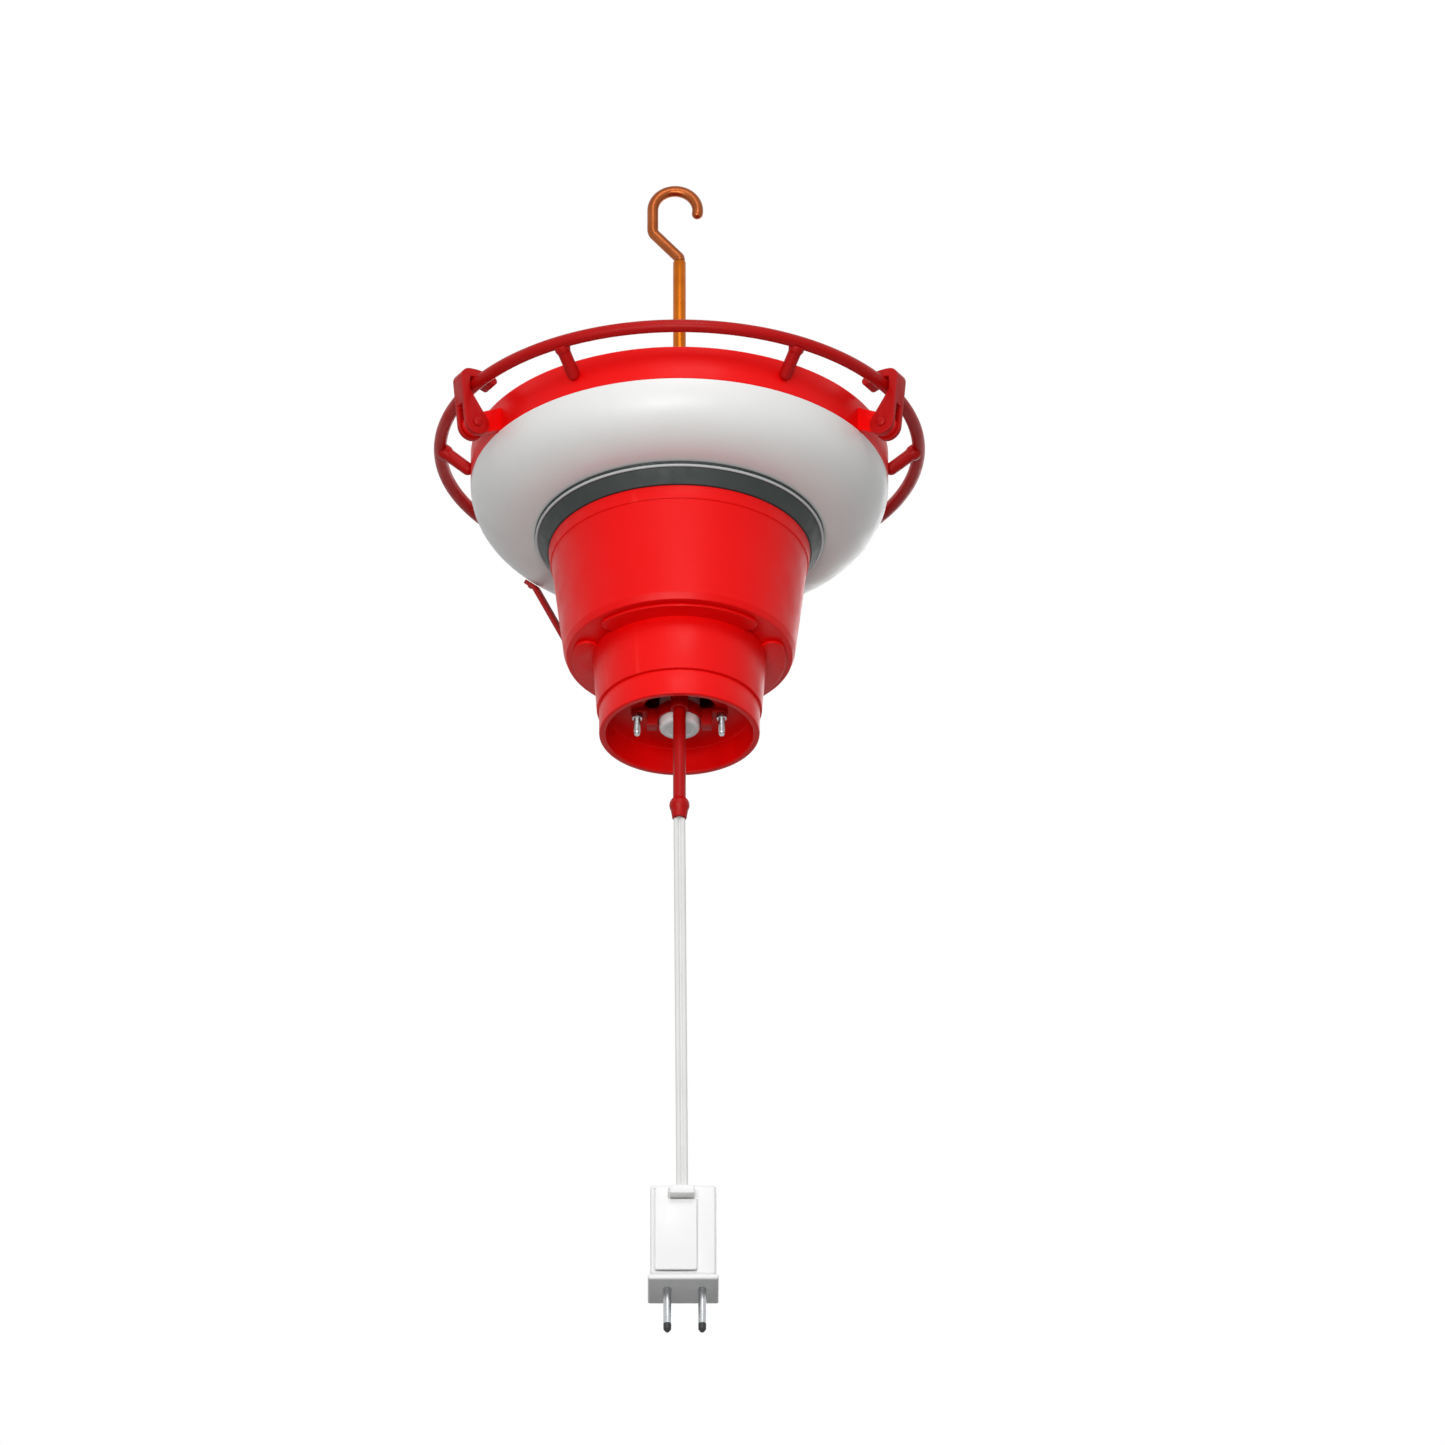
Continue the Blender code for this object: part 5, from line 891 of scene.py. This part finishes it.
edit = sweep([(0, y, z) for y, z in line], circle(inner["radius"], 20), Vector((1, 0, 0)))
finishPiece("inner_flex", edit, flexPvc, ["inner_lead"], "feeder")
print("pod and conduit")

# Bridge under the lid: the moulded spider and its screws keep their own shape, with softened edges
bridge = {"weld": 0.005, "edge": 0.4, "segments": 3, "over": 50}
for name in ("hanger_spider", "spider_screw_1", "spider_screw_2", "spider_screw_3"):
    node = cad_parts[name]
    node.data.materials.clear()
    node.data.materials.append(naturalNylon if name == "hanger_spider" else zincSteel)
    weld = node.modifiers.new("weld", "WELD")
    weld.merge_threshold = bridge["weld"] * mm
    rounding = node.modifiers.new("edges", "BEVEL")
    rounding.width = bridge["edge"] * mm
    rounding.segments = bridge["segments"]
    rounding.limit_method = "ANGLE"
    rounding.angle_limit = math.radians(bridge["over"])

# Lead: flat twin flex with a groove down its middle, and the adapter that it hangs to
lead = {"top": -403.6, "bottom": -636.7, "drift": 1.5, "wide": 6.4, "thick": 3.0, "web": 20, "spans": 60,
        "length": 0.2331}
lobe = lead["thick"] / 2
shift = lead["wide"] / 2 - lobe
meet = math.radians(lead["web"])
section = [*arc((shift, 0), lobe, -math.pi + meet, math.pi - meet, 18),
           *arc((-shift, 0), lobe, meet, math.tau - meet, 18)]
points = []
for step in range(lead["spans"] + 1):
    share = step / lead["spans"]
    points.append((lead["drift"] * share, -conduitOut, lead["top"] + (lead["bottom"] - lead["top"]) * share))
edit = sweep(points, section, Vector((1, 0, 0)))
flex = finishPiece("flat_flex", edit, flexPvc, ["power_cord"], "feeder")
case = {"middle": 2.1, "half": 18.0, "front": -11.4, "back": 13.6, "top": -633.0, "bottom": -689.8, "edge": 2.0}
grip = {"middle": 1.5, "half": 6.8, "front": case["front"] - 6.7, "back": case["front"] - 0.3, "top": -637.0,
        "bottom": -642.4, "edge": 0.9}
clamp = finishPiece("lead_grip", blockOf(grip), whiteAbs, ["cord_grip"], "feeder")

# Front panel, notched round the grip, in a slightly wider pocket that leaves a dark line round it
face = {"left": -15.4, "right": 7.4, "foot": 2.0, "drop": 3.0, "notch": 0.8, "corner": 0.8, "back": 0.3,
        "proud": 1.7, "edge": 0.5, "groove": 0.7, "deep": 0.8, "past": 4}
outlines = []
for grow in (0, face["groove"]):
    left = case["middle"] + face["left"] - grow
    right = case["middle"] + face["right"] + grow
    foot = case["bottom"] + face["foot"] - grow
    head = case["top"] - face["drop"] + grow
    notch = (grip["middle"] - grip["half"] - face["notch"] + grow, grip["bottom"] - face["notch"] + grow)
    corners = [(left, foot), (right, foot), (right, notch[1]), notch, (notch[0], head), (left, head)]
    outlines.append(soften([(*corner, face["corner"]) for corner in corners]))
edit = slab(outlines[0], face["back"] - case["front"], face["proud"] - case["front"])
roundEdges(edit, face["edge"])
bmesh.ops.transform(edit, matrix=upright, verts=edit.verts)
panel = finishPiece("front_panel", edit, whiteAbs, ["adapter_front_panel"], "feeder")
pocket = slab(outlines[1], -case["front"] - face["deep"], face["past"] - case["front"])
bmesh.ops.transform(pocket, matrix=upright, verts=pocket.verts)
shell = finishPiece("adapter_shell", carve(blockOf(case), pocket), whiteAbs, ["adapter_case"], "feeder")
base = {"middle": case["middle"], "half": 19.3, "front": case["front"] - 1.0, "back": case["back"] + 1.0,
        "top": case["bottom"] - 0.3, "bottom": case["bottom"] - 3.7, "edge": 1.2}
plinth = finishPiece("adapter_plinth", blockOf(base), whiteAbs, ["adapter_base"], "feeder")

# Pins: plated metal with a black tip of painted shade, which is a second material on the same mesh
pin = {"radius": 2.2, "top": base["bottom"] - 0.3, "length": 27.0, "deep": case["front"] + 9.6, "middle": 2.9,
       "half": 9.5, "tip": 5.0, "tipIn": 0.02, "taperIn": 0.05, "seam": 0.05, "below": 0.01, "nose": 1.6,
       "end": 1.0}
pinEnd = pin["top"] - pin["length"]
tipLevel = pinEnd + pin["tip"]
for index, side in enumerate((-1, 1), 1):
    edit = lathe(soften([
        (0, pin["top"]), (pin["radius"], pin["top"], 0.2), (pin["radius"], tipLevel, 0.1),
        (pin["radius"] - pin["tipIn"], tipLevel - pin["seam"]),
        (pin["radius"] - pin["taperIn"], pinEnd + pin["nose"], 1.2), (pin["end"], pinEnd, 0.4), (0, pinEnd),
    ]), 40)
    # faces below the tip level take the black material, painted shade on the pins' ends
    for surface in edit.faces:
        surface.material_index = 1 if surface.calc_center_median().z < tipLevel - pin["below"] else 0
    stand = Matrix.Translation((pin["middle"] + side * pin["half"], pin["deep"], 0))
    finishPiece(f"prong_{index}", edit, [zincSteel, paintedShadeTip], [f"plug_pin_{index}"],
                              "feeder", stand)
print("lead and adapter")
